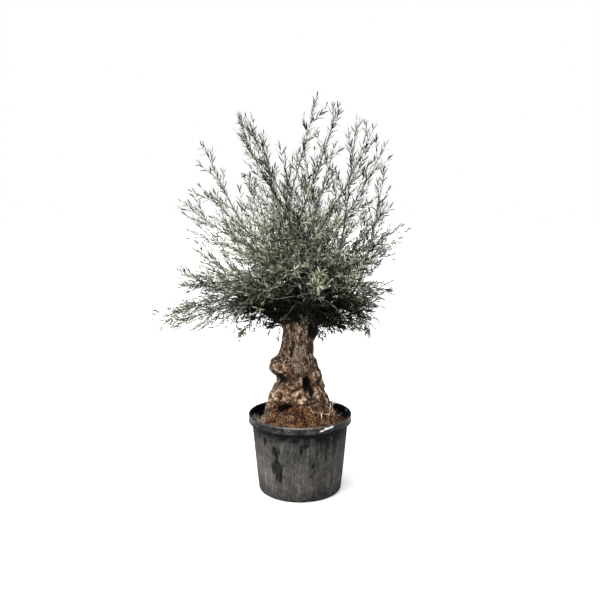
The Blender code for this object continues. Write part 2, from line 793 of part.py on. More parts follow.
def build_shoot(bm, shoot, loop=None):
    """Draws a stem ring by ring, from a flat end or a face of its parent, and what grows from its faces."""
    rings = [loop] if loop else []
    drawn = slice(len(rings), None)
    for p, frame, r in list(zip(shoot.points, shoot.frames, shoot.radii))[drawn]:
        rings.append([bm.verts.new(c) for c in ring_points(p, frame, r, 3, FIRST_CORNER)])
    if loop:
        left, right, upper = rings[1]
        bm.faces.new((loop[0], loop[1], right, left))
        bm.faces.new((loop[1], loop[2], upper, right))
        bm.faces.new((loop[2], loop[3], upper))
        bm.faces.new((loop[3], loop[0], left, upper))
    else:
        bm.faces.new(rings[0])
    for segment in range(1 if loop else 0, len(rings) - 1):
        low, high = rings[segment], rings[segment + 1]
        for face in range(3):
            following = (face + 1) % 3
            side = (low[face], low[following], high[following], high[face])
            child = shoot.grown.get((segment, face))
            if isinstance(child, Leaf):
                build_leaf(bm, side, child)
            elif child:
                build_shoot(bm, child, side)
            else:
                bm.faces.new(side)
    if shoot.tip_leaf:
        build_leaf(bm, rings[-1], shoot.tip_leaf)
    else:
        bm.faces.new(rings[-1])


def make_boughs(finish):
    """One object for each stem with its twigs and leaves, clear of the limbs and of each other."""
    room = Room()
    for number, limb in enumerate(LIMBS):
        points, radii = limb_line(limb)
        room.take(points, radii, number)
    trunk_line = [Vector((table_value(TRUNK_LEAN, z), 0, z)) for z in trunk_heights()]
    room.take(trunk_line, [table_value(TRUNK_RADIUS, p.z) for p in trunk_line], None)
    for number, stem in enumerate(plan_boughs(room, random.Random(SEED))):
        bm = bmesh.new()
        build_shoot(bm, stem)
        add_object(f"bough_{number + 1:02d}", bm, finish, 30)


def main():
    for obj in list(bpy.data.objects):
        bpy.data.objects.remove(obj)
    make_pot(material("pot_plastic", (0.045, 0.044, 0.041), 0.6))
    make_soil(material("bark_mulch", (0.13, 0.065, 0.035), 0.95))
    make_trunk(material("olive_bark", (0.16, 0.12, 0.09), 0.9))
    make_stalks(material("dry_straw", (0.50, 0.40, 0.30), 0.8))
    make_boughs(material("olive_leaf", (0.12, 0.13, 0.085), 0.55))


main()
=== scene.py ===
import itertools
import math
import random

import bpy
import numpy as np
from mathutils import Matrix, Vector


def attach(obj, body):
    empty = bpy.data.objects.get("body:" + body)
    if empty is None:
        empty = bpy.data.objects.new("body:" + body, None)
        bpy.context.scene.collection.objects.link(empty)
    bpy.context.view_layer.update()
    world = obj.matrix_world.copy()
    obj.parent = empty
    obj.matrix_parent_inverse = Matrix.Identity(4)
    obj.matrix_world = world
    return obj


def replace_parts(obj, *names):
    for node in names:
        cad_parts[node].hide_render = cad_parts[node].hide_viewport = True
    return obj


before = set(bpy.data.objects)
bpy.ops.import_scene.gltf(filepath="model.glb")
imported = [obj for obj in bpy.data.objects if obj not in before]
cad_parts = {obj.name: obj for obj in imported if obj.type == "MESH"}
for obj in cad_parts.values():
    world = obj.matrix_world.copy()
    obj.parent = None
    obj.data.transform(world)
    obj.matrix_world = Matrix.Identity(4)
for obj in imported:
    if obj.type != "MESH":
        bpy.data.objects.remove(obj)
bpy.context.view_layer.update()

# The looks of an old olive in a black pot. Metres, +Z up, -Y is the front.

# The camera, fitted to the rim and the base of the pot in the photograph
CAMERA_PLACE = (0.0, -3.8, 1.62)
CAMERA_DOWN = 7.7
CAMERA_LENS = 40.5
SENSOR = 36.0

# The construction's driving dimensions
POT_HEIGHT = 0.45
RIM_RADIUS = 0.2985
BASE_RADIUS = 0.241
COLLAR_HEIGHT = 0.046
COLLAR_STEP = 0.021
LIP_WIDTH = 0.009
WALL = 0.004
TRUNK_FOOT = 0.34
TRUNK_TOP = 1.045
CROWN_HEART = Vector((0.0, 0.0, 1.02))
LEAF_LENGTH = 0.078
GAP = 0.0004
FLOOR_CORNER = 0.018
COLLAR_FOOT = POT_HEIGHT - COLLAR_HEIGHT
WALL_TOP_RADIUS = RIM_RADIUS - COLLAR_STEP
FRONT_DEGREES = 270
FRONT = math.radians(FRONT_DEGREES)
SEED = 11


# Small tools


def smooth_step(low, high, x):
    """Eases from 0 at low to 1 at high."""
    t = np.clip((x - low) / (high - low), 0.0, 1.0)
    return t * t * (3 - 2 * t)


def table_value(table, x):
    """Reads a table of (x, value) rows, eased from row to row. x may be an array."""
    x = np.asarray(x, float)
    value = np.full(x.shape, float(table[0][1]))
    for (x0, v0), (x1, v1) in zip(table, table[1:]):
        value = np.where(x > x0, v0 + (v1 - v0) * smooth_step(x0, x1, x), value)
    return value if value.shape else float(value)


def turned(azimuth, elevation):
    """The direction so many degrees round from +X and so many up."""
    a, e = math.radians(azimuth), math.radians(elevation)
    return Vector((math.cos(a) * math.cos(e), math.sin(a) * math.cos(e), math.sin(e)))


def columns(count):
    """So many angles, evenly round a circle."""
    return [2 * math.pi * i / count for i in range(count)]


def turn_from(angle, degrees):
    """How far round each angle is from one in degrees, half a turn at most either way."""
    return np.remainder(angle - math.radians(degrees) + math.pi, 2 * math.pi) - math.pi


def away_from(angle, z, radius, degrees, height, half_width, half_height):
    """How far points of a round surface are from a spot on it, squared, and 1 at the spot's edge."""
    return (turn_from(angle, degrees) * radius / half_width) ** 2 + ((z - height) / half_height) ** 2


# Numbers that scramble a cell's place, the bits that are kept and how many results there are
SCRAMBLE = (73856093, 19349663, 83492791, 2654435761, 1274126177, 69069)
KEPT_BITS = 0x7FFFFFFF
RESULTS = 1000003


def hashed(cells, salt):
    """A number from 0 to 1 for each whole-numbered cell."""
    a, b, c, d, e, f = SCRAMBLE
    mixed = cells[..., 0] * a ^ cells[..., 1] * b ^ cells[..., 2] * c ^ salt * d
    mixed = ((mixed ^ (mixed >> 13)) & KEPT_BITS) * e & KEPT_BITS
    mixed = (mixed ^ (mixed >> 11)) * f & KEPT_BITS
    return (mixed % RESULTS) / RESULTS


def noise_at(points, salt):
    """Smooth noise from -1 to 1, with features one unit across."""
    cells = np.floor(points).astype(np.int64)
    inside = points - cells
    ease = inside * inside * (3 - 2 * inside)
    total = 0.0
    for corner in itertools.product((0, 1), repeat=3):
        weight = 1.0
        for axis in range(3):
            weight = weight * (ease[..., axis] if corner[axis] else 1 - ease[..., axis])
        total = total + weight * hashed(cells + np.array(corner), salt)
    return 2 * total - 1


def fractal(points, octaves, salt):
    """Noise with finer and finer noise on top."""
    total, size = 0.0, 1.0
    for i in range(octaves):
        total = total + noise_at(points * 2.03**i, salt + i) * size
        size *= 0.5
    return total


def cells_at(points, salt):
    """How far each point is from the nearest scattered seed, and how much further the next one is."""
    home = np.floor(points).astype(np.int64)
    nearest = np.full(points.shape[:-1], 9.0)
    second = nearest.copy()
    for step in itertools.product((-1, 0, 1), repeat=3):
        cell = home + np.array(step)
        seeds = cell + np.stack([hashed(cell, salt + k) for k in range(3)], -1)
        away = np.linalg.norm(seeds - points, axis=-1)
        second = np.minimum(second, np.maximum(nearest, away))
        nearest = np.minimum(nearest, away)
    return nearest, second - nearest


def piece(name, parts, finishes, smooth=True):
    """Joins parts into one object that rides with the tree.

    A part has its points, faces (rows of three or four corners), the number of its finish for each
    face, and its named values for each point.
    """
    names = sorted({key for part in parts for key in part["values"]})
    points = np.concatenate([part["points"] for part in parts])
    starts = np.cumsum([0] + [len(part["points"]) for part in parts])
    corners, sizes, kinds = [], [], []
    for part, start in zip(parts, starts):
        for faces, kind in zip(part["faces"], part["kinds"]):
            corners.append((np.asarray(faces) + start).ravel())
            sizes.append(np.full(len(faces), np.asarray(faces).shape[1]))
            kinds.append(np.broadcast_to(kind, len(faces)))
    corners, sizes, kinds = np.concatenate(corners), np.concatenate(sizes), np.concatenate(kinds)
    mesh = bpy.data.meshes.new(name)
    mesh.vertices.add(len(points))
    mesh.vertices.foreach_set("co", points.astype(np.float32).ravel())
    mesh.loops.add(len(corners))
    mesh.loops.foreach_set("vertex_index", corners.astype(np.int32))
    mesh.polygons.add(len(sizes))
    mesh.polygons.foreach_set("loop_start", (np.cumsum(sizes) - sizes).astype(np.int32))
    mesh.polygons.foreach_set("material_index", kinds.astype(np.int32))
    mesh.polygons.foreach_set("use_smooth", np.full(len(sizes), smooth))
    for key in names:
        attribute = mesh.attributes.new(key, "FLOAT", "POINT")
        values = [np.broadcast_to(part["values"].get(key, 0.0), len(part["points"])) for part in parts]
        attribute.data.foreach_set("value", np.concatenate(values).astype(np.float32))
    mesh.update(calc_edges=True)
    mesh.validate()
    for finish in finishes:
        mesh.materials.append(finish)
    obj = bpy.data.objects.new(name, mesh)
    bpy.context.scene.collection.objects.link(obj)
    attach(obj, "root")
    return obj


def grid_faces(rows, count):
    """The quads of a grid of points, row by row, whose rows close on themselves."""
    row, i = np.meshgrid(np.arange(rows - 1), np.arange(count), indexing="ij")
    here, after = row * count + i, row * count + (i + 1) % count
    return np.stack([here, after, after + count, here + count], -1).reshape(-1, 4)


def fan_faces(ring, point, outward=True):
    """Triangles that close a ring with one point."""
    ring = np.asarray(ring)
    after = np.roll(ring, -1)
    pair = (ring, after) if outward else (after, ring)
    return np.stack([*pair, np.full(len(ring), point)], -1)


# Materials


class Finish:
    """A material and short ways to add its nodes."""

    def __init__(self, name, roughness, specular=0.5):
        self.material = bpy.data.materials.new(name)
        self.material.use_nodes = True
        self.tree = self.material.node_tree
        self.shader = self.tree.nodes["Principled BSDF"]
        self.shader.inputs["Roughness"].default_value = roughness
        self.shader.inputs["Specular IOR Level"].default_value = specular

    def add(self, kind, sockets=(), **settings):
        """Adds a node, feeds its sockets and sets the rest."""
        node = self.tree.nodes.new(kind)
        for key, value in settings.items():
            setattr(node, key, value)
        for key, value in dict(sockets).items():
            self.feed(node.inputs[key], value)
        return node

    def feed(self, socket, value):
        """Gives a socket a plain value or what another node puts out."""
        if isinstance(value, bpy.types.NodeSocket):
            self.tree.links.new(value, socket)
        else:
            socket.default_value = value

    def value(self, name):
        """A value that the mesh carries at each point."""
        return self.add("ShaderNodeAttribute", attribute_name=name).outputs["Fac"]

    def noise(self, scale, detail=4, rough=0.6, stretch=(1, 1, 1), distortion=0.0):
        at = self.add("ShaderNodeTexCoord").outputs["Object"]
        at = self.add("ShaderNodeMapping", {"Vector": at, "Scale": stretch}).outputs["Vector"]
        values = (at, scale, detail, rough, distortion)
        sockets = zip(("Vector", "Scale", "Detail", "Roughness", "Distortion"), values)
        return self.add("ShaderNodeTexNoise", sockets).outputs["Fac"]

    def grain(self, low, high, *noise):
        """Noise, spread so that low to high becomes 0 to 1."""
        return self.between(self.noise(*noise), low, high)

    def sum(self, *terms):
        """Adds up numbers, values and pairs of a value and what it is multiplied by."""
        total = None
        for term in terms:
            term = self.times(*term) if isinstance(term, tuple) else term
            if total is not None:
                term = self.add("ShaderNodeMath", {0: total, 1: term}, operation="ADD").outputs[0]
            total = term
        return total

    def times(self, value, by):
        return self.add("ShaderNodeMath", {0: value, 1: by}, operation="MULTIPLY").outputs[0]

    def between(self, value, low, high, start=0.0, end=1.0):
        """Turns low to high into start to end, smoothly and no further."""
        sockets = {"Value": value, "From Min": low, "From Max": high, "To Min": start, "To Max": end}
        return self.add("ShaderNodeMapRange", sockets, interpolation_type="SMOOTHSTEP").outputs["Result"]

    def colours(self, value, *stops):
        """A colour for each value, by (place, colour) stops."""
        ramp = self.add("ShaderNodeValToRGB", {"Fac": value}).color_ramp
        while len(ramp.elements) < len(stops):
            ramp.elements.new(0.5)
        for element, (place, colour) in zip(ramp.elements, stops):
            element.position = place
            element.color = (*colour, 1)
        return self.tree.nodes[-1].outputs["Color"]

    def mixed(self, share, first, second):
        """From the first colour to the second. Either may be a plain colour."""
        node = self.add("ShaderNodeMix", data_type="RGBA")
        self.feed(node.inputs[0], share)
        for socket, colour in ((node.inputs[6], first), (node.inputs[7], second)):
            self.feed(socket, (*colour, 1) if isinstance(colour, tuple) else colour)
        return node.outputs[2]

    def gleams(self, level):
        """How strongly the surface mirrors, where that varies over it."""
        self.feed(self.shader.inputs["Specular IOR Level"], level)

    def finish(self, colour, roughness, height, depth):
        """Ends the material with its colour, its roughness where that varies, and its fine relief."""
        self.feed(self.shader.inputs["Base Color"], colour)
        if roughness:
            self.feed(self.shader.inputs["Roughness"], roughness)
        bump = self.add("ShaderNodeBump", {"Height": height, "Distance": depth, "Strength": 1.0})
        self.feed(self.shader.inputs["Normal"], bump.outputs["Normal"])
        return self.material


# The two sides of a leaf: name, dark colour, light colour, colour of the rib, roughness and gleam
LEAF_SIDES = [
    ("leaf_upper", (0.004, 0.0045, 0.0025), (0.375, 0.375, 0.264), (0.36, 0.36, 0.26), 0.42, 0.45),
    ("leaf_under", (0.004, 0.004, 0.003), (0.480, 0.480, 0.388), (0.43, 0.43, 0.35), 0.7, 0.15),
]


def leaf_finish(name, dark, light, rib, roughness, gleam):
    """A leathery blade, lighter or darker from leaf to leaf and by the painted shade and painted light that
    its tone carries, with a pale rib and fine mottling.
    """
    made = Finish(name, roughness)
    tone = made.sum(made.value("tone"), (made.noise(160, 3), 0.5), -0.29)
    on_rib = made.between(made.value("across"), 0.05, 0.20, 1.0, 0.0)
    colour = made.mixed(made.times(on_rib, made.times(tone, 0.8)), made.mixed(tone, dark, light), rib)
    rough = made.between(made.noise(90), 0.3, 0.7, roughness - 0.08, roughness + 0.10)
    made.gleams(made.between(tone, 0.0, 1.0, 0.0, gleam))
    return made.finish(colour, rough, made.sum(made.noise(420, 2), on_rib), 0.0006)


def shoot_finish():
    """Bark of the shoots: green-grey at their tips, grey-brown further down, and darker with painted shade
    in the crown's heart.
    """
    made = Finish("shoot_bark", 0.8, 0.15)
    grain = made.noise(120, 5, 0.7, (1, 1, 0.25))
    old = made.colours(grain, (0.25, (0.005, 0.004, 0.003)), (0.75, (0.030, 0.025, 0.019)))
    young = made.colours(grain, (0.25, (0.050, 0.052, 0.034)), (0.75, (0.17, 0.17, 0.12)))
    # The value runs from the tips' green-grey to the dark end, and also carries painted shade in the
    # crown's heart
    colour = made.mixed(made.value("young"), old, young)
    return made.finish(colour, made.between(grain, 0.2, 0.8, 0.7, 0.9), grain, 0.0015)


def bark_finish():
    """Fissured pinkish brown bark, tan and cream on its burls, nearly black with painted shade in its
    creases and hollows, on the limbs, under the crown and at the trunk's head.
    """
    made = Finish("olive_bark", 0.9, 0.1)
    fissures = made.grain(0.38, 0.62, 92, 8, 0.8, (1, 1, 0.15), 0.3)
    grit = made.grain(0.34, 0.68, 190, 5, 0.75)
    flecks = made.grain(0.40, 0.60, 105, 6, 0.85, (1, 1, 0.6))
    broad = made.grain(0.40, 0.62, 27, 5, 0.7)
    relief = made.value("relief")
    tone = made.sum(
        (fissures, 0.58), (flecks, 0.52), (grit, 0.32), (relief, 0.74), (broad, 0.22), -0.66,
    )
    lumpy = made.sum(
        (flecks, 0.44), (grit, 0.20), (relief, 0.80), (broad, 0.38), (made.value("cream"), 0.17), -0.47,
    )
    bark = made.colours(
        tone, (0.06, (0.010, 0.006, 0.004)), (0.30, (0.066, 0.038, 0.026)),
        (0.52, (0.202, 0.133, 0.089)), (0.90, (0.55, 0.435, 0.320)),
    )
    burl = made.colours(
        lumpy, (0.06, (0.014, 0.007, 0.004)), (0.28, (0.090, 0.042, 0.020)),
        (0.50, (0.195, 0.120, 0.070)), (0.70, (0.36, 0.275, 0.190)), (0.98, (0.66, 0.57, 0.45)),
    )
    smooth_wood = made.colours(
        tone, (0.14, (0.042, 0.029, 0.019)), (0.42, (0.150, 0.112, 0.078)), (0.88, (0.39, 0.320, 0.236)),
    )
    rusty = made.colours(lumpy, (0.1, (0.028, 0.010, 0.004)), (0.9, (0.42, 0.200, 0.090)))
    mossy = made.colours(lumpy, (0.1, (0.024, 0.019, 0.011)), (0.9, (0.30, 0.250, 0.175)))
    rust = made.sum((made.grain(0.50, 0.60, 33, 4, 0.6), 0.50), (made.value("rust"), 0.42))
    blotch = made.times(made.noise(19, 4), 0.9)
    on_burl = made.between(made.sum(made.value("burl"), blotch), 0.62, 1.00)
    on_ridge = made.between(made.sum(made.value("ridge"), blotch), 0.75, 1.10)
    moss = made.between(made.sum(made.value("moss"), (flecks, 0.5)), 0.75, 1.05)
    # Painted shade: near black in hollows and cracks, on the limbs, under the crown, at the trunk's head
    # and in the dark patches
    dark = made.between(made.sum(made.value("hollow"), (grit, 0.2)), 0.30, 0.85)
    colour = made.mixed(on_burl, bark, made.mixed(rust, burl, rusty))
    for share, layer in ((on_ridge, smooth_wood), (moss, mossy), (dark, (0.004, 0.003, 0.002))):
        colour = made.mixed(share, colour, layer)
    height = made.sum(fissures, (grit, 0.45), (flecks, 0.4))
    return made.finish(colour, made.between(grit, 0.2, 0.8, 0.8, 0.97), height, 0.004)


def mulch_finish():
    """Reddish brown bark and fibre, each scrap with its own tone, greyer and green where moss grows."""
    made = Finish("bark_mulch", 0.95, 0.1)
    crumb = made.grain(0.40, 0.61, 140, 8, 0.85)
    clods = made.grain(0.39, 0.61, 25, 5)
    tone = made.sum((crumb, 0.80), (clods, 0.40), (made.value("tone"), 0.72), -0.42)
    colour = made.colours(
        tone, (0.10, (0.004, 0.002, 0.0015)), (0.40, (0.034, 0.013, 0.006)),
        (0.66, (0.110, 0.037, 0.0110)), (1.0, (0.42, 0.22, 0.096)),
    )
    moss = made.between(made.sum(made.value("moss"), (crumb, 0.5)), 0.75, 1.10)
    green = made.colours(crumb, (0.1, (0.014, 0.010, 0.006)), (0.9, (0.25, 0.205, 0.145)))
    return made.finish(made.mixed(moss, colour, green), None, made.sum(crumb, (clods, 0.6)), 0.005)


def straw_finish():
    """Dry stalks and fibres, pale and streaky along their length."""
    made = Finish("dry_straw", 0.75, 0.3)
    grain = made.noise(160, 5, 0.7)
    tone = made.sum((grain, 0.7), (made.value("tone"), 0.8), -0.28)
    colour = made.colours(
        tone, (0.1, (0.055, 0.026, 0.013)), (0.5, (0.22, 0.14, 0.085)), (0.9, (0.62, 0.52, 0.41)),
    )
    return made.finish(colour, made.between(grain, 0.3, 0.7, 0.6, 0.85), grain, 0.0006)


def weed_finish():
    """A little weed, a fresher green than the olive's."""
    made = Finish("weed_green", 0.6, 0.3)
    tone = made.sum((made.noise(120, 4), 0.6), (made.value("tone"), 0.5), -0.1)
    colour = made.colours(tone, (0.2, (0.012, 0.018, 0.007)), (0.8, (0.085, 0.105, 0.045)))
    return made.finish(colour, None, made.noise(300, 2), 0.0005)


def pot_wall_finish():
    """Black moulded plastic under dried dust: vertical streaks, rubbed dark patches, dirt at the foot,
    painted shade under the collar, and painted light on the left side and along the rib edges.
    """
    made = Finish("pot_wall", 0.6, 0.07)
    streaks = made.grain(0.37, 0.63, 44, 6, 0.75, (1, 1, 0.07))
    fine = made.grain(0.39, 0.61, 76, 7, 0.85, (1, 1, 0.55))
    cloud = made.grain(0.40, 0.60, 14, 6, 0.75, (1, 1, 0.7))
    smear = made.grain(0.44, 0.54, 62, 6, 0.8, (1, 1, 0.30), 0.6)
    patch = made.between(made.sum(made.value("rubbed"), (fine, 0.35), (smear, 0.45)), 0.72, 0.98)
    # The dust value also carries painted shade under the collar and painted light on the left side and the
    # rib edges
    dust = made.sum((streaks, 0.20), (fine, 0.33), (cloud, 0.20), made.value("dust"), 0.15)
    dust = made.sum(dust, (made.times(patch, smear), -0.30), (patch, -0.36))
    colour = made.colours(
        dust, (0.0, (0.0045, 0.0046, 0.0050)), (0.30, (0.020, 0.0192, 0.0175)),
        (0.58, (0.044, 0.041, 0.0365)), (1.0, (0.105, 0.093, 0.080)),
    )
    made.gleams(made.between(dust, 0.0, 0.4, 0.015, 0.08))
    rough = made.between(dust, 0.0, 0.5, 0.6, 0.9)
    return made.finish(colour, rough, made.sum((fine, 0.5), (streaks, 0.6)), 0.0012)


def pot_collar_finish():
    """The smoother bluish black collar, with dry dust on its lip and in its grooves, painted shade at its
    foot, and pale scrapes.
    """
    made = Finish("pot_collar", 0.4, 0.13)
    fine = made.grain(0.38, 0.62, 80, 7, 0.8)
    broad = made.grain(0.38, 0.62, 15, 5)
    scuffs = made.grain(0.53, 0.64, 48, 6, 0.8, (1, 1, 1.6))
    dust = made.sum((fine, 0.32), (broad, 0.20), (scuffs, 0.46), made.value("dust"), -0.03)
    colour = made.colours(
        dust, (0.08, (0.0022, 0.0029, 0.0036)), (0.30, (0.011, 0.0118, 0.0125)),
        (0.60, (0.052, 0.050, 0.047)), (1.0, (0.165, 0.150, 0.132)),
    )
    ragged = made.grain(0.3, 0.7, 190, 4, 0.7, (0.7, 0.7, 1.8))
    scrape = made.between(made.sum(made.value("scrape"), (ragged, 0.6)), 0.95, 1.10)
    made.gleams(made.between(dust, -0.1, 0.25, 0.02, 0.15))
    colour = made.mixed(scrape, colour, (0.52, 0.51, 0.49))
    return made.finish(colour, made.between(dust, 0.0, 0.6, 0.32, 0.8), fine, 0.0006)


# Pot

POT_COLUMNS = 240
RIB_COUNT = 12
RIB_HEIGHT = 0.0024
RIB_FROM = 0.35
UNEVEN = 0.0012
NOTCH_COUNT = 6
NOTCH_RADIUS = 0.011
NOTCH_START = 281
NOTCH_REACH = 0.04
LEDGE = COLLAR_FOOT + WALL
LEDGE_DROP = 0.002
BAND_DEPTH = 0.003
BEAD = 0.0045
LIP_ROUND = 0.0015
BASE_RISE = 0.006
WALL_ROWS = 30
SHARP_EDGE = math.radians(40)
# Rubbed dark patches on the wall: degrees round, height, half width, half height
RUBBED = [
    (240, 0.297, 0.024, 0.032), (240.5, 0.205, 0.040, 0.052), (242.5, 0.150, 0.030, 0.034),
    (264, 0.368, 0.030, 0.016), (272, 0.315, 0.012, 0.030), (277, 0.338, 0.016, 0.012),
    (286, 0.225, 0.006, 0.018), (290, 0.190, 0.015, 0.006), (284, 0.165, 0.013, 0.006),
    (298, 0.368, 0.036, 0.011), (303, 0.290, 0.003, 0.050), (224, 0.345, 0.016, 0.024),
    (250, 0.374, 0.024, 0.011), (291, 0.290, 0.004, 0.040), (316, 0.300, 0.004, 0.050),
    (160, 0.245, 0.012, 0.050), (163, 0.185, 0.014, 0.036), (118, 0.366, 0.040, 0.012),
    (95, 0.270, 0.012, 0.040), (98, 0.215, 0.010, 0.034), (48, 0.200, 0.010, 0.050),
    (50, 0.140, 0.014, 0.022), (20, 0.368, 0.036, 0.011), (350, 0.260, 0.006, 0.060),
]
# How much darker or paler the wall's dust is by height: darkest at the foot with dirt, and under the collar
# with painted shade
WALL_DIRT_AND_SHADE = [
    (0.0, -0.34), (0.02, -0.28), (0.06, -0.12), (0.09, 0.0), (0.15, 0.04), (0.21, 0.0),
    (0.27, -0.10), (0.32, -0.14), (0.36, -0.36), (0.385, -0.48), (0.398, -0.85),
]
# Scrapes on the collar: degrees round, height, half width, half height
SCRAPES = [
    (300, 0.4350, 0.026, 0.0100), (293.5, 0.4260, 0.020, 0.0070), (306.0, 0.4390, 0.020, 0.0090),
    (254.5, 0.4350, 0.014, 0.0040), (259.0, 0.4290, 0.017, 0.0040), (205, 0.4350, 0.012, 0.0030),
    (78, 0.4300, 0.022, 0.0035), (140, 0.4380, 0.014, 0.0025), (18, 0.4360, 0.016, 0.0030),
]


def arc_points(centre, radius, start, end, steps):
    """Points (across, up) on an arc of a circle, angles in degrees."""
    turns = np.radians(np.linspace(start, end, steps + 1))
    return [(centre[0] + radius * math.cos(a), centre[1] + radius * math.sin(a)) for a in turns]


def pot_profile():
    """(radius, height, ribbed share, collar) from the middle of the base, up, over the lip and inside."""
    foot = [(0.0, BASE_RISE), (0.10, BASE_RISE), (BASE_RADIUS - 0.045, 0.005), (BASE_RADIUS - 0.036, 0.0)]
    foot += arc_points((BASE_RADIUS - FLOOR_CORNER, FLOOR_CORNER), FLOOR_CORNER, -90, 0, 6)
    rows = [(r, z, 0, 0) for r, z in foot]
    for i in range(1, WALL_ROWS + 1):
        t = i / WALL_ROWS
        z = FLOOR_CORNER + (COLLAR_FOOT - FLOOR_CORNER) * t
        ribbed = min(1.0, 6 * t) * min(1.0, 10 * (1 - t))
        rows.append((BASE_RADIUS + (WALL_TOP_RADIUS - BASE_RADIUS) * t, z, ribbed, 0))
    band = RIM_RADIUS - BAND_DEPTH
    under = [(WALL_TOP_RADIUS + 0.001, COLLAR_FOOT + 0.003), (RIM_RADIUS - 0.004, COLLAR_FOOT + 0.003)]
    rib = arc_points((RIM_RADIUS - BEAD, COLLAR_FOOT + BEAD), BEAD, -90, 60, 6)
    groove = [(band, COLLAR_FOOT + 0.0115), (band, COLLAR_FOOT + 0.020), (band, COLLAR_FOOT + 0.028)]
    lip = [(band, POT_HEIGHT - 0.011)]
    lip += arc_points((RIM_RADIUS - BEAD, POT_HEIGHT - BEAD), BEAD, -30, 90, 8)
    inner_round = (RIM_RADIUS - LIP_WIDTH + LIP_ROUND, POT_HEIGHT - LIP_ROUND)
    lip += arc_points(inner_round, LIP_ROUND, 90, 180, 3)
    inner = [(RIM_RADIUS - LIP_WIDTH, POT_HEIGHT - 0.015), (RIM_RADIUS - LIP_WIDTH, LEDGE)]
    rows += [(r, z, 0, 1) for r, z in under + rib + groove + lip + inner]
    floor = [(WALL_TOP_RADIUS - WALL, LEDGE - LEDGE_DROP), (BASE_RADIUS - WALL, FLOOR_CORNER)]
    floor += [(BASE_RADIUS - FLOOR_CORNER, WALL + 0.006), (0.0, WALL + 0.008)]
    return rows + [(r, z, 0, 1) for r, z in floor]


def pot_inside(z):
    """The pot's inner radius at a height: wide inside the collar, then the tapered wall below its ledge."""
    taper = (WALL_TOP_RADIUS - BASE_RADIUS) * (z - FLOOR_CORNER) / (COLLAR_FOOT - FLOOR_CORNER)
    wall = BASE_RADIUS + taper - WALL
    return wall + (RIM_RADIUS - LIP_WIDTH - wall) * smooth_step(LEDGE - 0.003, LEDGE + 0.006, z)


def patches(angle, z, radius, spots):
    """How much each point lies in one of the listed patches, from 0 to 1."""
    total = np.zeros(np.broadcast(angle, z).shape)
    for spot in spots:
        total = np.maximum(total, np.exp(-(away_from(angle, z, radius, *spot) ** 2)))
    return total


def notched(angle, z, radius):
    """The pot's heights, with the drainage notches cut up into the foot."""
    height = np.broadcast_to(z, np.broadcast(angle, z).shape).copy()
    low = (z < NOTCH_RADIUS) & (radius > BASE_RADIUS - NOTCH_REACH)
    for i in range(NOTCH_COUNT):
        round_by = turn_from(angle, NOTCH_START + 360 * i / NOTCH_COUNT)
        close = np.clip(1 - (round_by * BASE_RADIUS / NOTCH_RADIUS) ** 2, 0, 1) ** 0.5
        height = np.where(low, np.maximum(height, close * NOTCH_RADIUS), height)
    return height


def collar_dust_and_shade(angle, z):
    """Dust on the collar: much on its lip, some in its groove, less where it is worn, and painted shade
    darkening its foot.
    """
    dust = 0.52 * smooth_step(POT_HEIGHT - 0.0095, POT_HEIGHT - 0.0065, z)
    dust = dust + 0.14 * np.exp(-(((z - COLLAR_FOOT - 0.012) / 0.005) ** 2))
    # Painted shade at the collar's foot
    dust = dust - 0.6 * smooth_step(COLLAR_FOOT + 0.009, COLLAR_FOOT + 0.003, z)
    dust = dust - 0.07 * smooth_step(COLLAR_FOOT + 0.018, COLLAR_FOOT + 0.010, z)
    off_front = np.abs(turn_from(angle, FRONT_DEGREES))
    worn = smooth_step(math.radians(10), math.radians(40), off_front)
    worn = worn * smooth_step(math.radians(150), math.radians(110), off_front)
    return dust * (1 - 0.5 * worn) - 0.14 * worn


def make_pot(wall, collar):
    """The pot's profile turned round, ribbed, a little uneven and notched at its foot."""
    rows = pot_profile()
    angle = np.array(columns(POT_COLUMNS))[None, :]
    radius, z, ribbed, on_collar = (np.array(column)[:, None] for column in zip(*rows))
    wave = np.cos(RIB_COUNT * (angle - FRONT) + math.pi)
    r = radius + ribbed * RIB_HEIGHT * np.clip(wave - RIB_FROM, 0, 1) / (1 - RIB_FROM)
    around = np.stack(np.broadcast_arrays(np.cos(angle) * 3, np.sin(angle) * 3, z * 6), -1)
    r = r + ribbed * UNEVEN * noise_at(around, 5)
    points = np.stack([r * np.cos(angle), r * np.sin(angle), notched(angle, z, radius)], -1)
    kinds = np.repeat(np.maximum(on_collar[:-1], on_collar[1:]), POT_COLUMNS)
    # Painted light: paler dust on the left side, where the light comes from, and pale lines along the rib
    # edges as painted highlights
    on_edge = np.exp(-(((wave - 0.30) / 0.15) ** 2))
    streaks = 0.14 * np.clip(np.cos(angle - math.radians(190)), -0.5, 1)
    streaks = streaks + 0.16 * ribbed * on_edge * (0.6 + noise_at(around * 2, 9))
    outside = collar_dust_and_shade(angle, z) * (radius > RIM_RADIUS - 0.012)
    # Dust and dirt, with painted shade under the collar and the painted light on the wall
    dust = np.where(on_collar == 1, outside, table_value(WALL_DIRT_AND_SHADE, z) + streaks)
    inside = (np.arange(len(rows)) > len(rows) - 7)[:, None]
    part = {
        "points": points.reshape(-1, 3), "faces": [grid_faces(len(rows), POT_COLUMNS)], "kinds": [kinds],
        "values": {
            "dust": np.where(inside, -0.35, dust + 0 * angle).ravel(),
            "rubbed": patches(angle, z, radius, RUBBED).ravel(),
            "scrape": (patches(angle, z, radius, SCRAPES) * (on_collar == 1)).ravel(),
        },
    }
    pot = piece("nursery_pot", [part], [wall, collar])
    pot.data.set_sharp_from_angle(angle=SHARP_EDGE)
    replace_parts(pot, "pot")


# Trunk

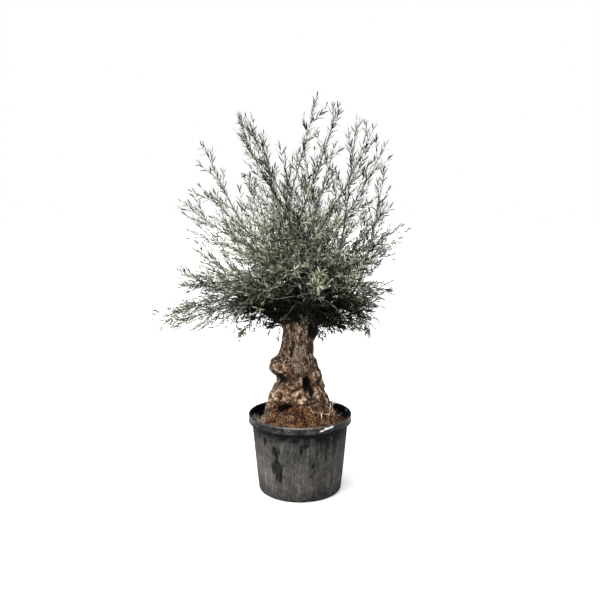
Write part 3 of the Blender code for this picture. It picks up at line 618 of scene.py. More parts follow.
# Height, radius and how far the middle leans to +X. The foot keeps one outline up to SOIL_BAND.
SOIL_BAND = 0.54
BAND_FADE = 0.03
TRUNK_RADIUS = [
    (TRUNK_FOOT, 0.180), (SOIL_BAND, 0.180), (0.585, 0.152), (0.63, 0.134), (0.66, 0.129),
    (0.70, 0.122), (0.76, 0.103), (0.80, 0.093), (0.86, 0.089), (0.93, 0.097), (0.98, 0.106),
    (1.02, 0.096), (TRUNK_TOP, 0.062),
]
TRUNK_LEAN = [
    (TRUNK_FOOT, -0.013), (SOIL_BAND, -0.013), (0.63, -0.006), (0.70, -0.010),
    (0.80, -0.018), (0.86, -0.015), (0.93, -0.008), (TRUNK_TOP, -0.002),
]
# Swellings: degrees round, height, half width, half height, how far out
BURLS = [
    (184, 0.760, 0.046, 0.028, 0.048), (190, 0.712, 0.052, 0.040, 0.040),
    (225, 0.725, 0.034, 0.034, 0.016), (200, 0.585, 0.050, 0.036, 0.018),
    (233, 0.598, 0.032, 0.024, 0.032), (266, 0.588, 0.034, 0.022, 0.028),
    (287, 0.572, 0.026, 0.022, 0.022), (312, 0.605, 0.034, 0.028, 0.022),
    (316, 0.695, 0.028, 0.038, 0.024), (338, 0.580, 0.042, 0.030, 0.018),
    (350, 0.668, 0.042, 0.040, 0.012), (20, 0.600, 0.055, 0.040, 0.026),
    (52, 0.740, 0.050, 0.042, 0.034), (80, 0.590, 0.050, 0.036, 0.030),
    (112, 0.670, 0.055, 0.045, 0.030), (143, 0.585, 0.050, 0.036, 0.026),
    (158, 0.860, 0.035, 0.040, 0.014), (276, 0.790, 0.024, 0.120, 0.014),
]
# The last swelling is the smooth ridge up the front
RIDGE = BURLS[-1]
# Hollows, with their depth in the last column
HOLLOWS = [
    (291, 0.645, 0.019, 0.036, 0.055), (246, 0.556, 0.044, 0.015, 0.050),
    (222, 0.668, 0.036, 0.024, 0.030), (254, 0.838, 0.010, 0.044, 0.016),
    (300, 0.590, 0.013, 0.020, 0.022), (88, 0.640, 0.022, 0.040, 0.045),
    (40, 0.570, 0.030, 0.018, 0.034), (134, 0.760, 0.014, 0.050, 0.022),
]
# Soft folds up the whole trunk: how many round it, depth as a share of the radius, phase
FLUTES = [(3, 0.030, 0.6), (5, 0.026, -1.1), (8, 0.014, 2.0)]
TRUNK_COLUMNS = 330
FINE_ROWS = 210
FINE_FOOT = 0.40
FINE_START = SOIL_BAND - 0.06
FOOT_ROWS = 12
HEAD_DOME = 0.012
FINE_LIMB_RINGS = 40
FINE_LIMB_SIDES = 40
# Healed rings of bark round old cuts: degrees round, height, radius, how far their lip stands out
RINGS = [
    (233, 0.592, 0.030, 0.010), (272, 0.582, 0.033, 0.011), (318, 0.690, 0.028, 0.008),
    (318, 0.598, 0.030, 0.009), (222, 0.735, 0.026, 0.006), (203, 0.560, 0.030, 0.008),
    (96, 0.600, 0.030, 0.009), (60, 0.735, 0.032, 0.009), (140, 0.600, 0.028, 0.008),
    (345, 0.560, 0.032, 0.009), (20, 0.640, 0.026, 0.008), (165, 0.660, 0.028, 0.008),
]
# The low hollow as the photograph has it, at the soil, slanting up to the right
LOW_HOLLOW = [(238, 0.506, 0.030, 0.020, 0.052), (252, 0.521, 0.030, 0.018, 0.052)]
# The channel that runs on down from the tall hollow, and the hollow's right side
CHANNEL = [(300, 0.652, 0.018, 0.026, 0.034), (303, 0.602, 0.012, 0.036, 0.019)]
# The broad dark dip under the left burl, wider and shallower than the hollow that stands for it
BROAD_DIP = [(212, 0.672, 0.050, 0.034, 0.018), (232, 0.664, 0.036, 0.026, 0.006)]
# Soft dark patches on the bark, with their strength in the last column; the first is painted shade under
# the left burl
DARK_PATCHES = [
    (210, 0.668, 0.052, 0.036, 0.50), (236, 0.900, 0.040, 0.075, 0.22), (305, 0.760, 0.030, 0.050, 0.25),
]
# The dark cleft beside the second stem at the trunk's head
CLEFT = [(316, 0.965, 0.015, 0.075, 0.034)]
# The big burl on the left, rounder than the bumps that stand for it: degrees round, height, sizes
LEFT_BURL = (186, 0.733, 0.060, 0.052, 0.062)
# Small corrections of the outline, left and right
FINE_BURLS = [
    (186, 0.800, 0.045, 0.030, 0.020), (188, 0.682, 0.040, 0.018, 0.014),
    (354, 0.915, 0.055, 0.070, 0.017), (352, 0.748, 0.050, 0.022, 0.013), (0, 0.600, 0.090, 0.060, -0.017),
]
FINE_BAND = 0.44
FINE_BAND_FADE = 0.05
# The foot's flare on the left, where old roots spread: degrees round, half width, top, how far out
FLARE = (205, 42, 0.53, 0.034)
FLARE_FADE = 0.07
# Heights between which the bark turns knobbly, darkens with painted shade under the crown on its shaded
# side (degrees round and half width), and ends in the trunk's head, where painted shade darkens it too
KNOBBLY = (0.82, 0.66)
UNDER_CROWN = (0.855, 0.925)
SHADED_SIDE = (345, 27)
HEAD_SHADE = (1.0, 1.045)
# How many features of each kind of relief there are in a metre
WARP_SCALES = (21, 47)
KNOB_SCALE, BUD_SCALE = 27, 66
CRACK_SCALE, HAIR_SCALE, BARK_SCALE, GRIT_SCALE, LUMP_SCALE = 44, 105, 60, 150, 15
# How high or deep each kind is
KNOB_HEIGHT, BUD_HEIGHT, SEAM_DEPTH = 0.012, 0.0050, 0.003
CRACK_DEPTH, HAIR_DEPTH, BARK_HEIGHT, GRIT_HEIGHT, LUMP_HEIGHT = 0.0050, 0.0022, 0.0030, 0.0016, 0.0045
LUMPS_DOWN = 0.004


def bumps(angle, z, base, shapes):
    """The summed height of a list of rounded bumps."""
    total = 0.0
    for *spot, size in shapes:
        total = total + size * np.exp(-away_from(angle, z, base, *spot))
    return total


def folded(angle):
    """The trunk's soft folds, as a share of its radius."""
    return 1 + sum(depth * np.cos(count * angle + turn) for count, depth, turn in FLUTES)


def trunk_radius(angle, z):
    """How far the trunk's surface is from its own middle, round it and up it."""
    base = table_value(TRUNK_RADIUS, z)
    above = smooth_step(SOIL_BAND, SOIL_BAND + BAND_FADE, z)
    shaped = bumps(angle, z, base, BURLS) - bumps(angle, z, base, HOLLOWS)
    return base * folded(angle) + above * shaped


def bark_relief(at, knobbly, warp):
    """Knobs with seams between them, bark with cracks in it, fine grit, and how deep the cracks are."""
    near, edge = cells_at(at * KNOB_SCALE + 0.42 * warp, 7)
    small, _ = cells_at(at * BUD_SCALE + 0.6 * warp, 17)
    seams = SEAM_DEPTH * np.exp(-((edge / 0.07) ** 2))
    knobs = knobbly * (KNOB_HEIGHT * (0.45 - near) + BUD_HEIGHT * (0.45 - small) - seams)
    tall = np.array([1, 1, 0.2]) + 0.4 * knobbly[..., None] * np.array([0, 0, 1])
    cracks = (1 - np.abs(noise_at(at * CRACK_SCALE * tall + 0.5 * warp, 31))) ** 5
    hair = (1 - np.abs(noise_at(at * HAIR_SCALE * tall + 0.5 * warp, 33))) ** 4
    bark = BARK_HEIGHT * fractal(at * BARK_SCALE * tall, 3, 35) - CRACK_DEPTH * cracks - HAIR_DEPTH * hair
    grit = GRIT_HEIGHT * fractal(at * GRIT_SCALE, 3, 41)
    return knobs, bark, grit, cracks


def healed_rings(angle, z, base, warp):
    """The relief of the healed rings, and how much each point lies in a pit or on a crest of one."""
    rings = pits = crests = 0.0
    for degrees, height, size, lip in RINGS:
        away = np.hypot(turn_from(angle, degrees) * base, (z - height) * 1.2)
        away = away + 0.014 * warp[..., 0] + 0.006 * warp[..., 1]
        crest, pit = np.exp(-(((away - size) / 0.011) ** 2)), np.exp(-((away / (0.55 * size)) ** 2))
        rings = rings + lip * (crest - 0.5 * pit)
        pits, crests = pits + pit, crests + crest * lip / 0.010
    return rings, pits, crests


def fine_trunk(angle, z):
    """The trunk's bark: its radius with knobs, creases and fissures, and what its finish needs to know."""
    base = table_value(TRUNK_RADIUS, z)
    hollows = HOLLOWS[:1] + HOLLOWS[3:] + LOW_HOLLOW + CHANNEL + BROAD_DIP + CLEFT
    degrees, height, half_width, half_height, size = LEFT_BURL
    round_by = np.radians(np.degrees(angle) - degrees)
    away = (round_by * base / half_width) ** 2 + ((z - height) / half_height) ** 2
    shaped = bumps(angle, z, base, BURLS[2:] + FINE_BURLS) + size * np.exp(-(away**2))
    depth = bumps(angle, z, base, hollows)
    above = smooth_step(FINE_BAND, FINE_BAND + FINE_BAND_FADE, z)
    radius = base * folded(angle) + above * (shaped - depth)
    flare_middle, flare_width, flare_top, flare_out = FLARE
    off_flare = np.degrees(angle) - flare_middle
    flare = flare_out * np.exp(-((off_flare / flare_width) ** 2))
    radius = radius + flare * smooth_step(flare_top, flare_top - FLARE_FADE, z)
    at = np.stack(np.broadcast_arrays(radius * np.cos(angle), radius * np.sin(angle), z), -1)
    broad, narrow = (at * scale for scale in WARP_SCALES)
    warp = np.stack([noise_at(broad, 91 + k) + 0.5 * noise_at(narrow, 95 + k) for k in range(3)], -1)
    knobbly = smooth_step(*KNOBBLY, z)
    ridge = np.clip(bumps(angle, z, base, [RIDGE]) / RIDGE[4], 0, 1)
    rough = 1 - 0.7 * ridge
    knobs, bark, grit, cracks = bark_relief(at, knobbly, warp)
    rings, pits, crests = healed_rings(angle, z, base, warp)
    lumps = LUMP_HEIGHT * fractal(at * LUMP_SCALE, 3, 21) - LUMPS_DOWN
    fine = (knobs + bark * (1 - 0.35 * knobbly)) * rough + grit
    radius = radius + lumps * rough + fine + (0.3 + 0.7 * above) * rings
    # Painted shade under the crown, on the trunk's shaded side
    side, half_side = SHADED_SIDE
    shade = smooth_step(*UNDER_CROWN, z) * np.exp(-(((np.degrees(angle) - side) / half_side) ** 4))
    # Painted shade in the hollows, the cleft and the cracks
    shade_in_hollows_and_cracks = above * np.clip(depth / 0.030 - 0.15, 0, 2) + 0.35 * cracks * rough
    ring_knobs = 0.30 * np.clip(np.abs(rings) / 0.004, 0, 1)
    return radius, {
        "burl": knobbly * (0.40 + ring_knobs + 0.15 * noise_at(at * 13, 57)),
        "relief": np.clip(0.5 + (fine + 0.6 * rings + 0.3 * lumps) / 0.016, 0, 1),
        "ridge": ridge,
        # Painted shade: hollows and cracks, under the crown, at the head, and the dark patches
        "hollow": shade_in_hollows_and_cracks + 0.8 * shade + 0.9 * smooth_step(*HEAD_SHADE, z) + bumps(angle, z, base, DARK_PATCHES),
        "rust": np.clip(pits, 0, 1), "cream": np.clip(crests, 0, 1),
        "moss": smooth_step(0.55, 0.45, z) * np.exp(-(((off_flare + 5) / 42) ** 2)),
    }


# Limbs: degrees round, degrees up, length, radius at the root
LIMBS = [
    (8, 30, 0.30, 0.035), (52, 54, 0.36, 0.033), (98, 32, 0.30, 0.035),
    (146, 56, 0.36, 0.033), (188, 27, 0.32, 0.036), (232, 54, 0.34, 0.032),
    (278, 32, 0.28, 0.034), (324, 56, 0.35, 0.032), (70, 84, 0.38, 0.033),
]
LIMB_ROOT = Vector((0, 0, 0.965))
LIMB_ROOT_OUT = 0.03
LIMB_TAPER = 0.46
LIMB_RISE = 0.35
LIMB_RINGS = 6
LIMB_SIDES = 6
FIRST_SEAT_RING = 2


def ring_points(centre, ring_frame, radius, sides):
    across, over, _ = ring_frame
    return [centre + (across * math.cos(a) + over * math.sin(a)) * radius for a in columns(sides)]


def carried_frames(points, side):
    """(across, over, along) at each point of a line, turned as little as possible from point to point."""
    frames = []
    for i in range(len(points)):
        along = (points[min(i + 1, len(points) - 1)] - points[max(i - 1, 0)]).normalized()
        side = (side - along * side.dot(along)).normalized()
        frames.append((side, along.cross(side), along))
    return frames


def limb_line(limb):
    """Points and radii down a limb's middle, from inside the trunk's head, bending upwards."""
    azimuth, elevation, length, radius = limb
    heading = turned(azimuth, elevation)
    at = LIMB_ROOT + turned(azimuth, 0) * LIMB_ROOT_OUT
    points, radii = [], []
    for i in range(LIMB_RINGS):
        share = i / (LIMB_RINGS - 1)
        points.append(at.copy())
        radii.append(radius * (1 - (1 - LIMB_TAPER) * share))
        heading = (heading + Vector((0, 0, LIMB_RISE * share / LIMB_RINGS))).normalized()
        at += heading * length / (LIMB_RINGS - 1)
    return points, radii


def limb_rings(limb):
    """The corners of the plain limb, ring by ring."""
    points, radii = limb_line(limb)
    frames = carried_frames(points, Vector((0, 0, 1)).cross(turned(limb[0], 0)))
    return [ring_points(p, f, r, LIMB_SIDES) for p, f, r in zip(points, frames, radii)]


def seats():
    """(limb number, place, outward direction) of each facet and end of a limb that carries a bough."""
    found = []
    for number, limb in enumerate(LIMBS):
        rings = limb_rings(limb)
        for low, high in list(zip(rings, rings[1:]))[FIRST_SEAT_RING:]:
            for i in range(LIMB_SIDES):
                j = (i + 1) % LIMB_SIDES
                corners = (low[i], low[j], high[j], high[i])
                middle = sum(corners, Vector()) / 4
                outward = (high[j] - low[i]).cross(high[i] - low[j]).normalized()
                warp = max((corner - middle).dot(outward) for corner in corners)
                found.append((number, middle + outward * warp, outward))
        line = limb_line(limb)[0]
        found.append((number, line[-1], (line[-1] - line[-2]).normalized()))
    return found


def marks_of(line):
    """How far along a line each of its points is."""
    return np.concatenate([[0], np.cumsum(np.linalg.norm(np.diff(line, axis=0), axis=1))])


def place_on(line, marks, mark):
    """The place so far along a line."""
    return np.stack([np.interp(mark, marks, line[:, k]) for k in range(3)], -1)


def resampled(line, radii, count):
    """A line's points and radii again, evenly spaced along it."""
    line = np.asarray(line, float)
    marks = marks_of(line)
    wanted = np.linspace(0, marks[-1], count)
    return place_on(line, marks, wanted), np.interp(wanted, marks, np.asarray(radii, float))


def softened(line):
    """A line with its bends rounded a little."""
    line[1:-1] = line[1:-1] * 0.5 + (line[:-2] + line[2:]) * 0.25
    return line


def unit(vectors):
    """The same directions, each one unit long."""
    return vectors / np.maximum(np.linalg.norm(vectors, axis=-1, keepdims=True), 1e-9)


def line_frames(points, side):
    """Unit across, over and along arrays down a line, turned as little as possible."""
    along = unit(np.gradient(points, axis=0))
    across = np.empty_like(along)
    side = np.asarray(side, float)
    for i, direction in enumerate(along):
        side = side - direction * side.dot(direction)
        side = side / max(np.linalg.norm(side), 1e-9)
        across[i] = side
    return across, np.cross(along, across), along


def closed_rings(rings, ends, values, end_values, kind=0):
    """A part made of rings of points, with a fan at each end to one more point."""
    count, sides = rings.shape[:2]
    first = np.arange(sides)
    last = first + (count - 1) * sides
    fans = [fan_faces(first, count * sides, False), fan_faces(last, count * sides + 1)]
    return {
        "points": np.concatenate([rings.reshape(-1, 3), ends]),
        "faces": [grid_faces(count, sides)] + fans, "kinds": [kind] * 3,
        "values": {key: np.concatenate([np.ravel(value), end_values]) for key, value in values.items()},
    }


def tube(points, radii, sides, values, kind=0, relief=0.0):
    """A round tube down a line, closed at both ends."""
    points = np.asarray(points, float)
    start_side = (0.3, 0.9, 0.1) if abs(unit(points[-1] - points[0])[1]) < 0.8 else (1, 0, 0)
    across, over, _ = line_frames(points, start_side)
    a = np.array(columns(sides))[:, None]
    radius = np.asarray(radii)[:, None] * np.ones(sides) + relief
    rings = points[:, None] + radius[..., None] * (across[:, None] * np.cos(a) + over[:, None] * np.sin(a))
    spread = {key: np.repeat(value * np.ones(len(points)), sides) for key, value in values.items()}
    return closed_rings(rings, points[[0, -1]], spread, (0, 1), kind)


def fine_limb(limb, number):
    """A limb's bark, knobbly where shoots leave it, and nearly black with painted shade, as it lies inside
    the crown.
    """
    points, radii = resampled(*limb_line(limb), FINE_LIMB_RINGS)
    t = np.linspace(0, 1, FINE_LIMB_RINGS)[:, None]
    a = np.array(columns(FINE_LIMB_SIDES))[None, :]
    at = np.stack(np.broadcast_arrays(np.cos(a) * 1.6, np.sin(a) * 1.6, t * 7 + number), -1)
    relief = 0.0035 * fractal(at * 2.0, 3, 61) + 0.0016 * fractal(at * np.array([7, 7, 2]), 2, 71)
    # Painted shade: the limbs are painted nearly black all over
    values = {"burl": 0.1, "hollow": 0.80, "relief": 0.35}
    return tube(points, radii, FINE_LIMB_SIDES, values, relief=relief)


def make_trunk(bark):
    """The fine trunk with its limbs. The limbs start inside the trunk's head."""
    foot = np.linspace(FINE_FOOT, FINE_START, FOOT_ROWS)
    z = np.concatenate([foot[:-1], np.linspace(FINE_START, TRUNK_TOP, FINE_ROWS)])
    height, angle = np.meshgrid(z, np.array(columns(TRUNK_COLUMNS)), indexing="ij")
    radius, values = fine_trunk(angle, height)
    lean = table_value(TRUNK_LEAN, height)
    rings = np.stack([lean + radius * np.cos(angle), radius * np.sin(angle), height], -1)
    trunk = closed_rings(rings, [(0, 0, FINE_FOOT), (0, 0, TRUNK_TOP + HEAD_DOME)], values, (0, 0))
    limbs = [fine_limb(limb, number) for number, limb in enumerate(LIMBS)]
    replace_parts(piece("olive_trunk", [trunk] + limbs, [bark]), "trunk")


# Soil

# The surface's height at the back and at the front, where it meets the trunk and the pot
SOIL_AT_TRUNK = (0.462, 0.532)
SOIL_AT_POT = (0.366, 0.441)
# Dips before the low hollow and left of the spread roots: degrees round, half width, depth at the
# trunk and at the pot
SOIL_DIPS = [(243, 17, 0.036, 0.0), (184, 32, 0.022, 0.078), (350, 24, 0.0, 0.018)]
SOIL_BANKING = 1.5
SOIL_FALL = 1.3
SOIL_LUMPS = [(3, 9.0, 0.0, 0.006), (7, -14.0, 1.0, 0.005)]
SOIL_COLUMNS = 300
SOIL_ROWS = 56
# The surface starts inside the trunk, at this share of the way out to the pot
SOIL_START = -0.55
# Clods, scraps and crumbs: how many to a metre, how high, and where their noise starts
CLODS = (24, 0.005, 83)
SCRAPS = (95, 0.0055, 81)
CRUMBS = (160, 0.0024, 85)
# Moss left of the trunk and behind it: across, deep, half width, half depth, strength
MOSS = [(-0.222, -0.060, 0.070, 0.14, 1.0), (0.10, 0.235, 0.10, 0.05, 0.8)]
# Loose chips of bark, and between what half sizes each one's length, width and thickness lie
CHIPS = 1500
CHIP_SIZES = [(0.003, 0.010), (0.002, 0.005), (0.0008, 0.002)]


def soil_height(angle, share):
    """The soil's height from the trunk (share 0) to the pot (share 1), banked up at the front."""
    front = 0.5 + 0.5 * np.cos(angle - FRONT)
    inner = SOIL_AT_TRUNK[0] + (SOIL_AT_TRUNK[1] - SOIL_AT_TRUNK[0]) * front**SOIL_BANKING
    outer = SOIL_AT_POT[0] + (SOIL_AT_POT[1] - SOIL_AT_POT[0]) * front
    lumps = 0
    for count, slant, turn, size in SOIL_LUMPS:
        lumps = lumps + size * np.sin(count * angle + slant * share + turn)
    for middle, half_width, at_trunk, at_pot in SOIL_DIPS:
        round_by = np.remainder(np.degrees(angle) - middle + 180, 360) - 180
        dip = np.exp(-((round_by / half_width) ** 2))
        inner, outer = inner - at_trunk * dip, outer - at_pot * dip
    rise = (inner - outer) * np.maximum(1 - np.maximum(share, 0), 0) ** SOIL_FALL
    return outer + rise + lumps * np.sin(math.pi * share)


def trunk_edge(angle):
    """Where the trunk's foot meets the soil, as points across."""
    radius = trunk_radius(angle, np.full(np.shape(angle), TRUNK_FOOT)) + 2 * GAP
    return np.stack([TRUNK_LEAN[0][1] + radius * np.cos(angle), radius * np.sin(angle)], -1)


def soil_points(angle, share):
    """Points of the soil's surface, with the same share on the way from the trunk to the pot."""
    angle, share = np.broadcast_arrays(angle, share)
    inner = trunk_edge(angle)
    reach = pot_inside(soil_height(angle, np.ones(angle.shape))) - GAP
    outer = reach[..., None] * np.stack([np.cos(angle), np.sin(angle)], -1)
    flat = inner + (outer - inner) * share[..., None]
    return np.concatenate([flat, soil_height(angle, share)[..., None]], -1)


def soil_relief(points):
    """Clods, scraps and crumbs of the mulch."""
    scale, height, salt = SCRAPS
    near, _ = cells_at(points * scale, salt)
    clods = CLODS[1] * fractal(points * CLODS[0], 3, CLODS[2])
    return clods + height * (0.55 - near) + CRUMBS[1] * fractal(points * CRUMBS[0], 2, CRUMBS[2])


def moss_at(points):
    """How mossy each place is, from 0 to 1."""
    total = 0.0
    for across, deep, half_width, half_depth, strength in MOSS:
        away = np.hypot((points[..., 0] - across) / half_width, (points[..., 1] - deep) / half_depth)
        total = total + strength * np.exp(-(away**2))
    return np.clip(total, 0, 1)


def scrap(centre, size, draw, tone, moss):
    """A splinter of bark: a box with uneven corners, turned at random."""
    turn = np.linalg.qr(np.array([[draw.gauss(0, 1) for _ in range(3)] for _ in range(3)]))[0]
    corners = np.array(list(itertools.product((-1, 1), repeat=3)), float) * size
    corners *= np.array([[draw.uniform(0.6, 1.2) for _ in range(3)] for _ in range(8)])
    faces = np.array([(0, 1, 3, 2), (4, 6, 7, 5), (0, 4, 5, 1), (2, 3, 7, 6), (0, 2, 6, 4), (1, 5, 7, 3)])
    values = {"tone": np.full(8, tone), "moss": np.full(8, moss)}
    return {"points": centre + corners @ turn.T, "faces": [faces], "kinds": [0], "values": values}


def make_soil(mulch):
    """The mulch's surface on a plain root ball, then loose scraps of bark on it."""
    angle = np.array(columns(SOIL_COLUMNS))[None, :]
    share = np.linspace(SOIL_START, 1.0, SOIL_ROWS)[:, None]
    points = soil_points(angle, share)
    points[..., 2] = points[..., 2] + soil_relief(points) * smooth_step(1.02, 0.90, share)
    moss = moss_at(points)
    wall = [
        (RIM_RADIUS - LIP_WIDTH - GAP, LEDGE + 2 * GAP),
        (WALL_TOP_RADIUS - WALL - GAP, LEDGE - LEDGE_DROP + GAP),
        (BASE_RADIUS - WALL - GAP, FLOOR_CORNER + GAP), (0.0, 0.02),
    ]
    edge = np.linalg.norm(points[-1, :, :2], axis=1)
    sides = []
    for r, z in wall:
        across, up = np.minimum(r, edge), np.minimum(z, points[-1, :, 2] - 0.002)
        sides.append(np.stack([across * np.cos(angle[0]), across * np.sin(angle[0]), up], -1)[None])
    rows = np.concatenate([points] + sides)
    moss = np.concatenate([moss.ravel(), np.zeros(SOIL_COLUMNS * len(wall))])
    ball = {
        "points": rows.reshape(-1, 3), "faces": [grid_faces(len(rows), SOIL_COLUMNS)], "kinds": [0],
        "values": {"tone": 0.5, "moss": moss},
    }
    draw = random.Random(SEED + 1)
    scraps = []
    for _ in range(CHIPS):
        a = draw.uniform(0, 2 * math.pi)
        centre = soil_points(np.array(a), np.array(draw.uniform(0.02, 0.92)))
        centre[2] += float(soil_relief(centre)) + draw.uniform(-0.001, 0.002)
        size = np.array([draw.uniform(*between) for between in CHIP_SIZES])
        mossy = 0.9 * float(moss_at(centre))
        scraps.append(scrap(centre, size, draw, draw.uniform(0.1, 1.0) ** 1.5, mossy))
    soil = piece("bark_mulch", [ball] + scraps, [mulch], smooth=False)
    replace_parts(soil, "soil")


FIBRES = 700
# Every so many fibres one is long, and one sticks up at its end, by these shares of its length
LONG_EVERY = 8
RAISED_EVERY = 9
RAISED = (0, 0.5)
LYING = (0, 0.06)
# Length, radius, and the power that makes most of them dark
LONG_FIBRE = ((0.05, 0.11), (0.0007, 0.0014), 0.6)
SHORT_FIBRE = ((0.015, 0.045), (0.0004, 0.0008), 1.5)
THREAD_POINTS = 9
FIBRE_MARGIN = 0.004
# Tufts of dry grass: place, how many blades, their length
DRY_GRASS = [
    ((-0.226, -0.085, 0.390), 26, 0.060), ((-0.243, -0.040, 0.385), 18, 0.066),
    ((-0.205, -0.135, 0.408), 18, 0.044), ((0.175, -0.110, 0.440), 8, 0.040),
    ((0.215, -0.050, 0.425), 3, 0.035), ((0.120, 0.180, 0.420), 8, 0.050),
    ((-0.120, 0.190, 0.410), 6, 0.055),
]
GRASS_RADIUS = (0.0010, 0.0005)


def strewn(draw, spread, up):
    """A vector scattered sideways, with its height given."""
    return np.array([draw.gauss(0, spread), draw.gauss(0, spread), up])


def scatter(draw, spread):
    """A vector scattered alike in all directions."""
    return np.array([draw.gauss(0, spread) for _ in range(3)])


def fibre(draw, number):
    """A bent coir fibre that lies on the mulch, kept between the trunk and the pot."""
    a = draw.uniform(0, 2 * math.pi)
    centre = soil_points(np.array(a), np.array(draw.uniform(0.05, 0.92)))
    lengths, thicknesses, power = SHORT_FIBRE if number % LONG_EVERY else LONG_FIBRE
    length = draw.uniform(*lengths)
    heading = strewn(draw, 1, 0.0)
    heading /= np.linalg.norm(heading)
    sideways = np.array([-heading[1], heading[0], 0])
    t = np.linspace(-0.5, 0.5, THREAD_POINTS)[:, None]
    bend = draw.uniform(-0.35, 0.35) * length
    line = centre + heading * length * t + sideways * bend * (t * 2) ** 2
    round_by = np.arctan2(line[:, 1], line[:, 0])
    outer = pot_inside(soil_height(round_by, np.ones(len(line)))) - FIBRE_MARGIN
    line[:, :2] *= np.minimum(1, outer / np.linalg.norm(line[:, :2], axis=1))[:, None]
    inner = np.linalg.norm(trunk_edge(round_by), axis=1)
    share = np.clip((np.linalg.norm(line[:, :2], axis=1) - inner) / (outer - inner), 0, 1)
    lift = draw.uniform(*(LYING if number % RAISED_EVERY else RAISED))
    lying = soil_height(round_by, share) + soil_relief(line)
    line[:, 2] = lying + 0.002 + lift * length * (t[:, 0] + 0.5) ** 1.5
    radii = draw.uniform(*thicknesses) * np.linspace(1, 0.5, THREAD_POINTS)
    return tube(line, radii, 4, {"tone": draw.uniform(0.0, 1.0) ** power})


def grass_blade(draw, place, length):
    """A dry blade of grass that leans and bends over."""
    foot = np.array(place) + scatter(draw, 0.013)
    lean = np.array([draw.gauss(0, 0.55), draw.gauss(0, 0.35), 1.0])
    t = np.linspace(0, 1, THREAD_POINTS)[:, None]
    blade = foot + unit(lean) * t * length * draw.uniform(0.6, 1.3)
    blade = blade + (lean * (1, 1, 0) - (0, 0, 0.25)) * t**2 * length * draw.uniform(0.2, 0.7)
    return tube(blade, np.linspace(*GRASS_RADIUS, THREAD_POINTS), 4, {"tone": draw.uniform(0.4, 1.1)})


def make_fibres(straw):
    """Coir fibres that lie on the mulch or stick up out of it, and tufts of dry grass."""
    draw = random.Random(SEED + 2)
    parts = [fibre(draw, number) for number in range(FIBRES)]
    for place, count, length in DRY_GRASS:
        parts += [grass_blade(draw, place, length) for _ in range(count)]
    piece("mulch_fibres", parts, [straw])


# Tufts of weed: place, how many blades, their length
WEEDS = [
    ((0.186, -0.095, 0.452), 4, 0.040), ((0.120, 0.200, 0.425), 7, 0.032),
    ((-0.236, -0.06, 0.428), 5, 0.030),
]


def make_weeds(green):
    draw = random.Random(SEED + 3)
    parts = []
    for place, count, length in WEEDS:
        rows = []
        for _ in range(count):
            heading = strewn(draw, 0.5, 1.0)
            start = np.array(place) + strewn(draw, 0.004, -0.012)
            rows.append((start, heading, strewn(draw, 1, 0.4), length * draw.uniform(0.7, 1.3)))
        parts.append(leaf_part(rows, draw))
    piece("little_weeds", parts, [green, green, green])


# Dry stalks: degrees round, share of the way to the pot, height, lean outwards, length of the broken end
STALKS = [
    (318, 0.45, 0.075, 0.10, 0.055),
    (300, 0.70, 0.050, -0.25, 0.060),
    (336, 0.30, 0.125, 0.05, 0.025),
]
# Its radius at the foot, where it is broken, and at its end
STALK_RADII = [0.0020, 0.0020 * 0.9, 0.0020 * 0.55]
STALK_DEPTH = 0.020
STALK_DROOP = -14
STALK_POINTS = 42
JOINT_EVERY = 14


def make_stalks(straw):
    """Up out of the soil, then bent over where the stalk has broken, with joints."""
    up = Vector((0, 0, 1))
    at = np.arange(STALK_POINTS)
    for number, (degrees, share, height, lean, broken) in enumerate(STALKS):
        foot = Vector(soil_points(np.array(math.radians(degrees)), np.array(share))) - up * STALK_DEPTH
        rise = (up + turned(degrees, 0) * lean).normalized()
        top = foot + rise * (STALK_DEPTH + height)
        end = top + turned(degrees + 90, STALK_DROOP) * broken
        line, radii = resampled([foot, top, end], STALK_RADII, STALK_POINTS)
        line = softened(line)
        line = line + 0.0012 * np.stack([np.sin(at * 0.7 + number), np.cos(at * 0.9), 0 * at], -1)
        radii = radii * (1 + 0.35 * np.exp(-((np.remainder(at, JOINT_EVERY) - JOINT_EVERY / 2) / 0.8) ** 2))
        stalk = tube(line, radii, 10, {"tone": 0.75 + 0.2 * np.sin(at * 0.4)})
        stalk = piece(f"broken_stalk_{number + 1}", [stalk], [straw])
        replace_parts(stalk, f"dry_stalk_{number + 1}")


# Crown: where the longest shoots end, seen from the front: across, deep, up
LEADERS = [
    (-0.834, 0.00, 0.95), (-0.775, 0.09, 1.01), (-0.69, -0.12, 1.19), (-0.72, 0.06, 1.30),
    (-0.57, -0.20, 1.42), (-0.65, 0.16, 1.58), (-0.67, -0.06, 1.68), (-0.60, 0.18, 1.77),
    (-0.534, -0.02, 1.984), (-0.355, 0.10, 2.15), (-0.295, -0.14, 2.13), (-0.22, 0.28, 2.02),
    (-0.08, -0.30, 1.93), (0.01, 0.34, 2.08), (0.098, 0.00, 2.25), (0.225, 0.20, 2.23),
    (0.30, -0.18, 2.11), (0.43, 0.08, 2.11), (0.465, -0.16, 1.98), (0.50, 0.20, 1.85),
    (0.48, -0.12, 1.66), (0.599, 0.02, 1.535), (0.55, 0.20, 1.40), (0.535, -0.14, 1.17),
    (0.48, 0.12, 1.06), (0.39, -0.20, 0.95), (-0.34, -0.22, 0.91),
]
# The shoots of the crown's front and back: how many, degrees round each face, degrees up, and reach
SIDE_SHOOTS = 19
GOLDEN = 0.618034
FACE_SPREAD = 116
LOWEST_SHOOT = -12
SHOOT_RISE = 88
SHOOT_RISE_POWER = 1.3
SHOOT_REACH = 0.55
EXTRA_REACH = 0.40
REACH_STEP = 0.05

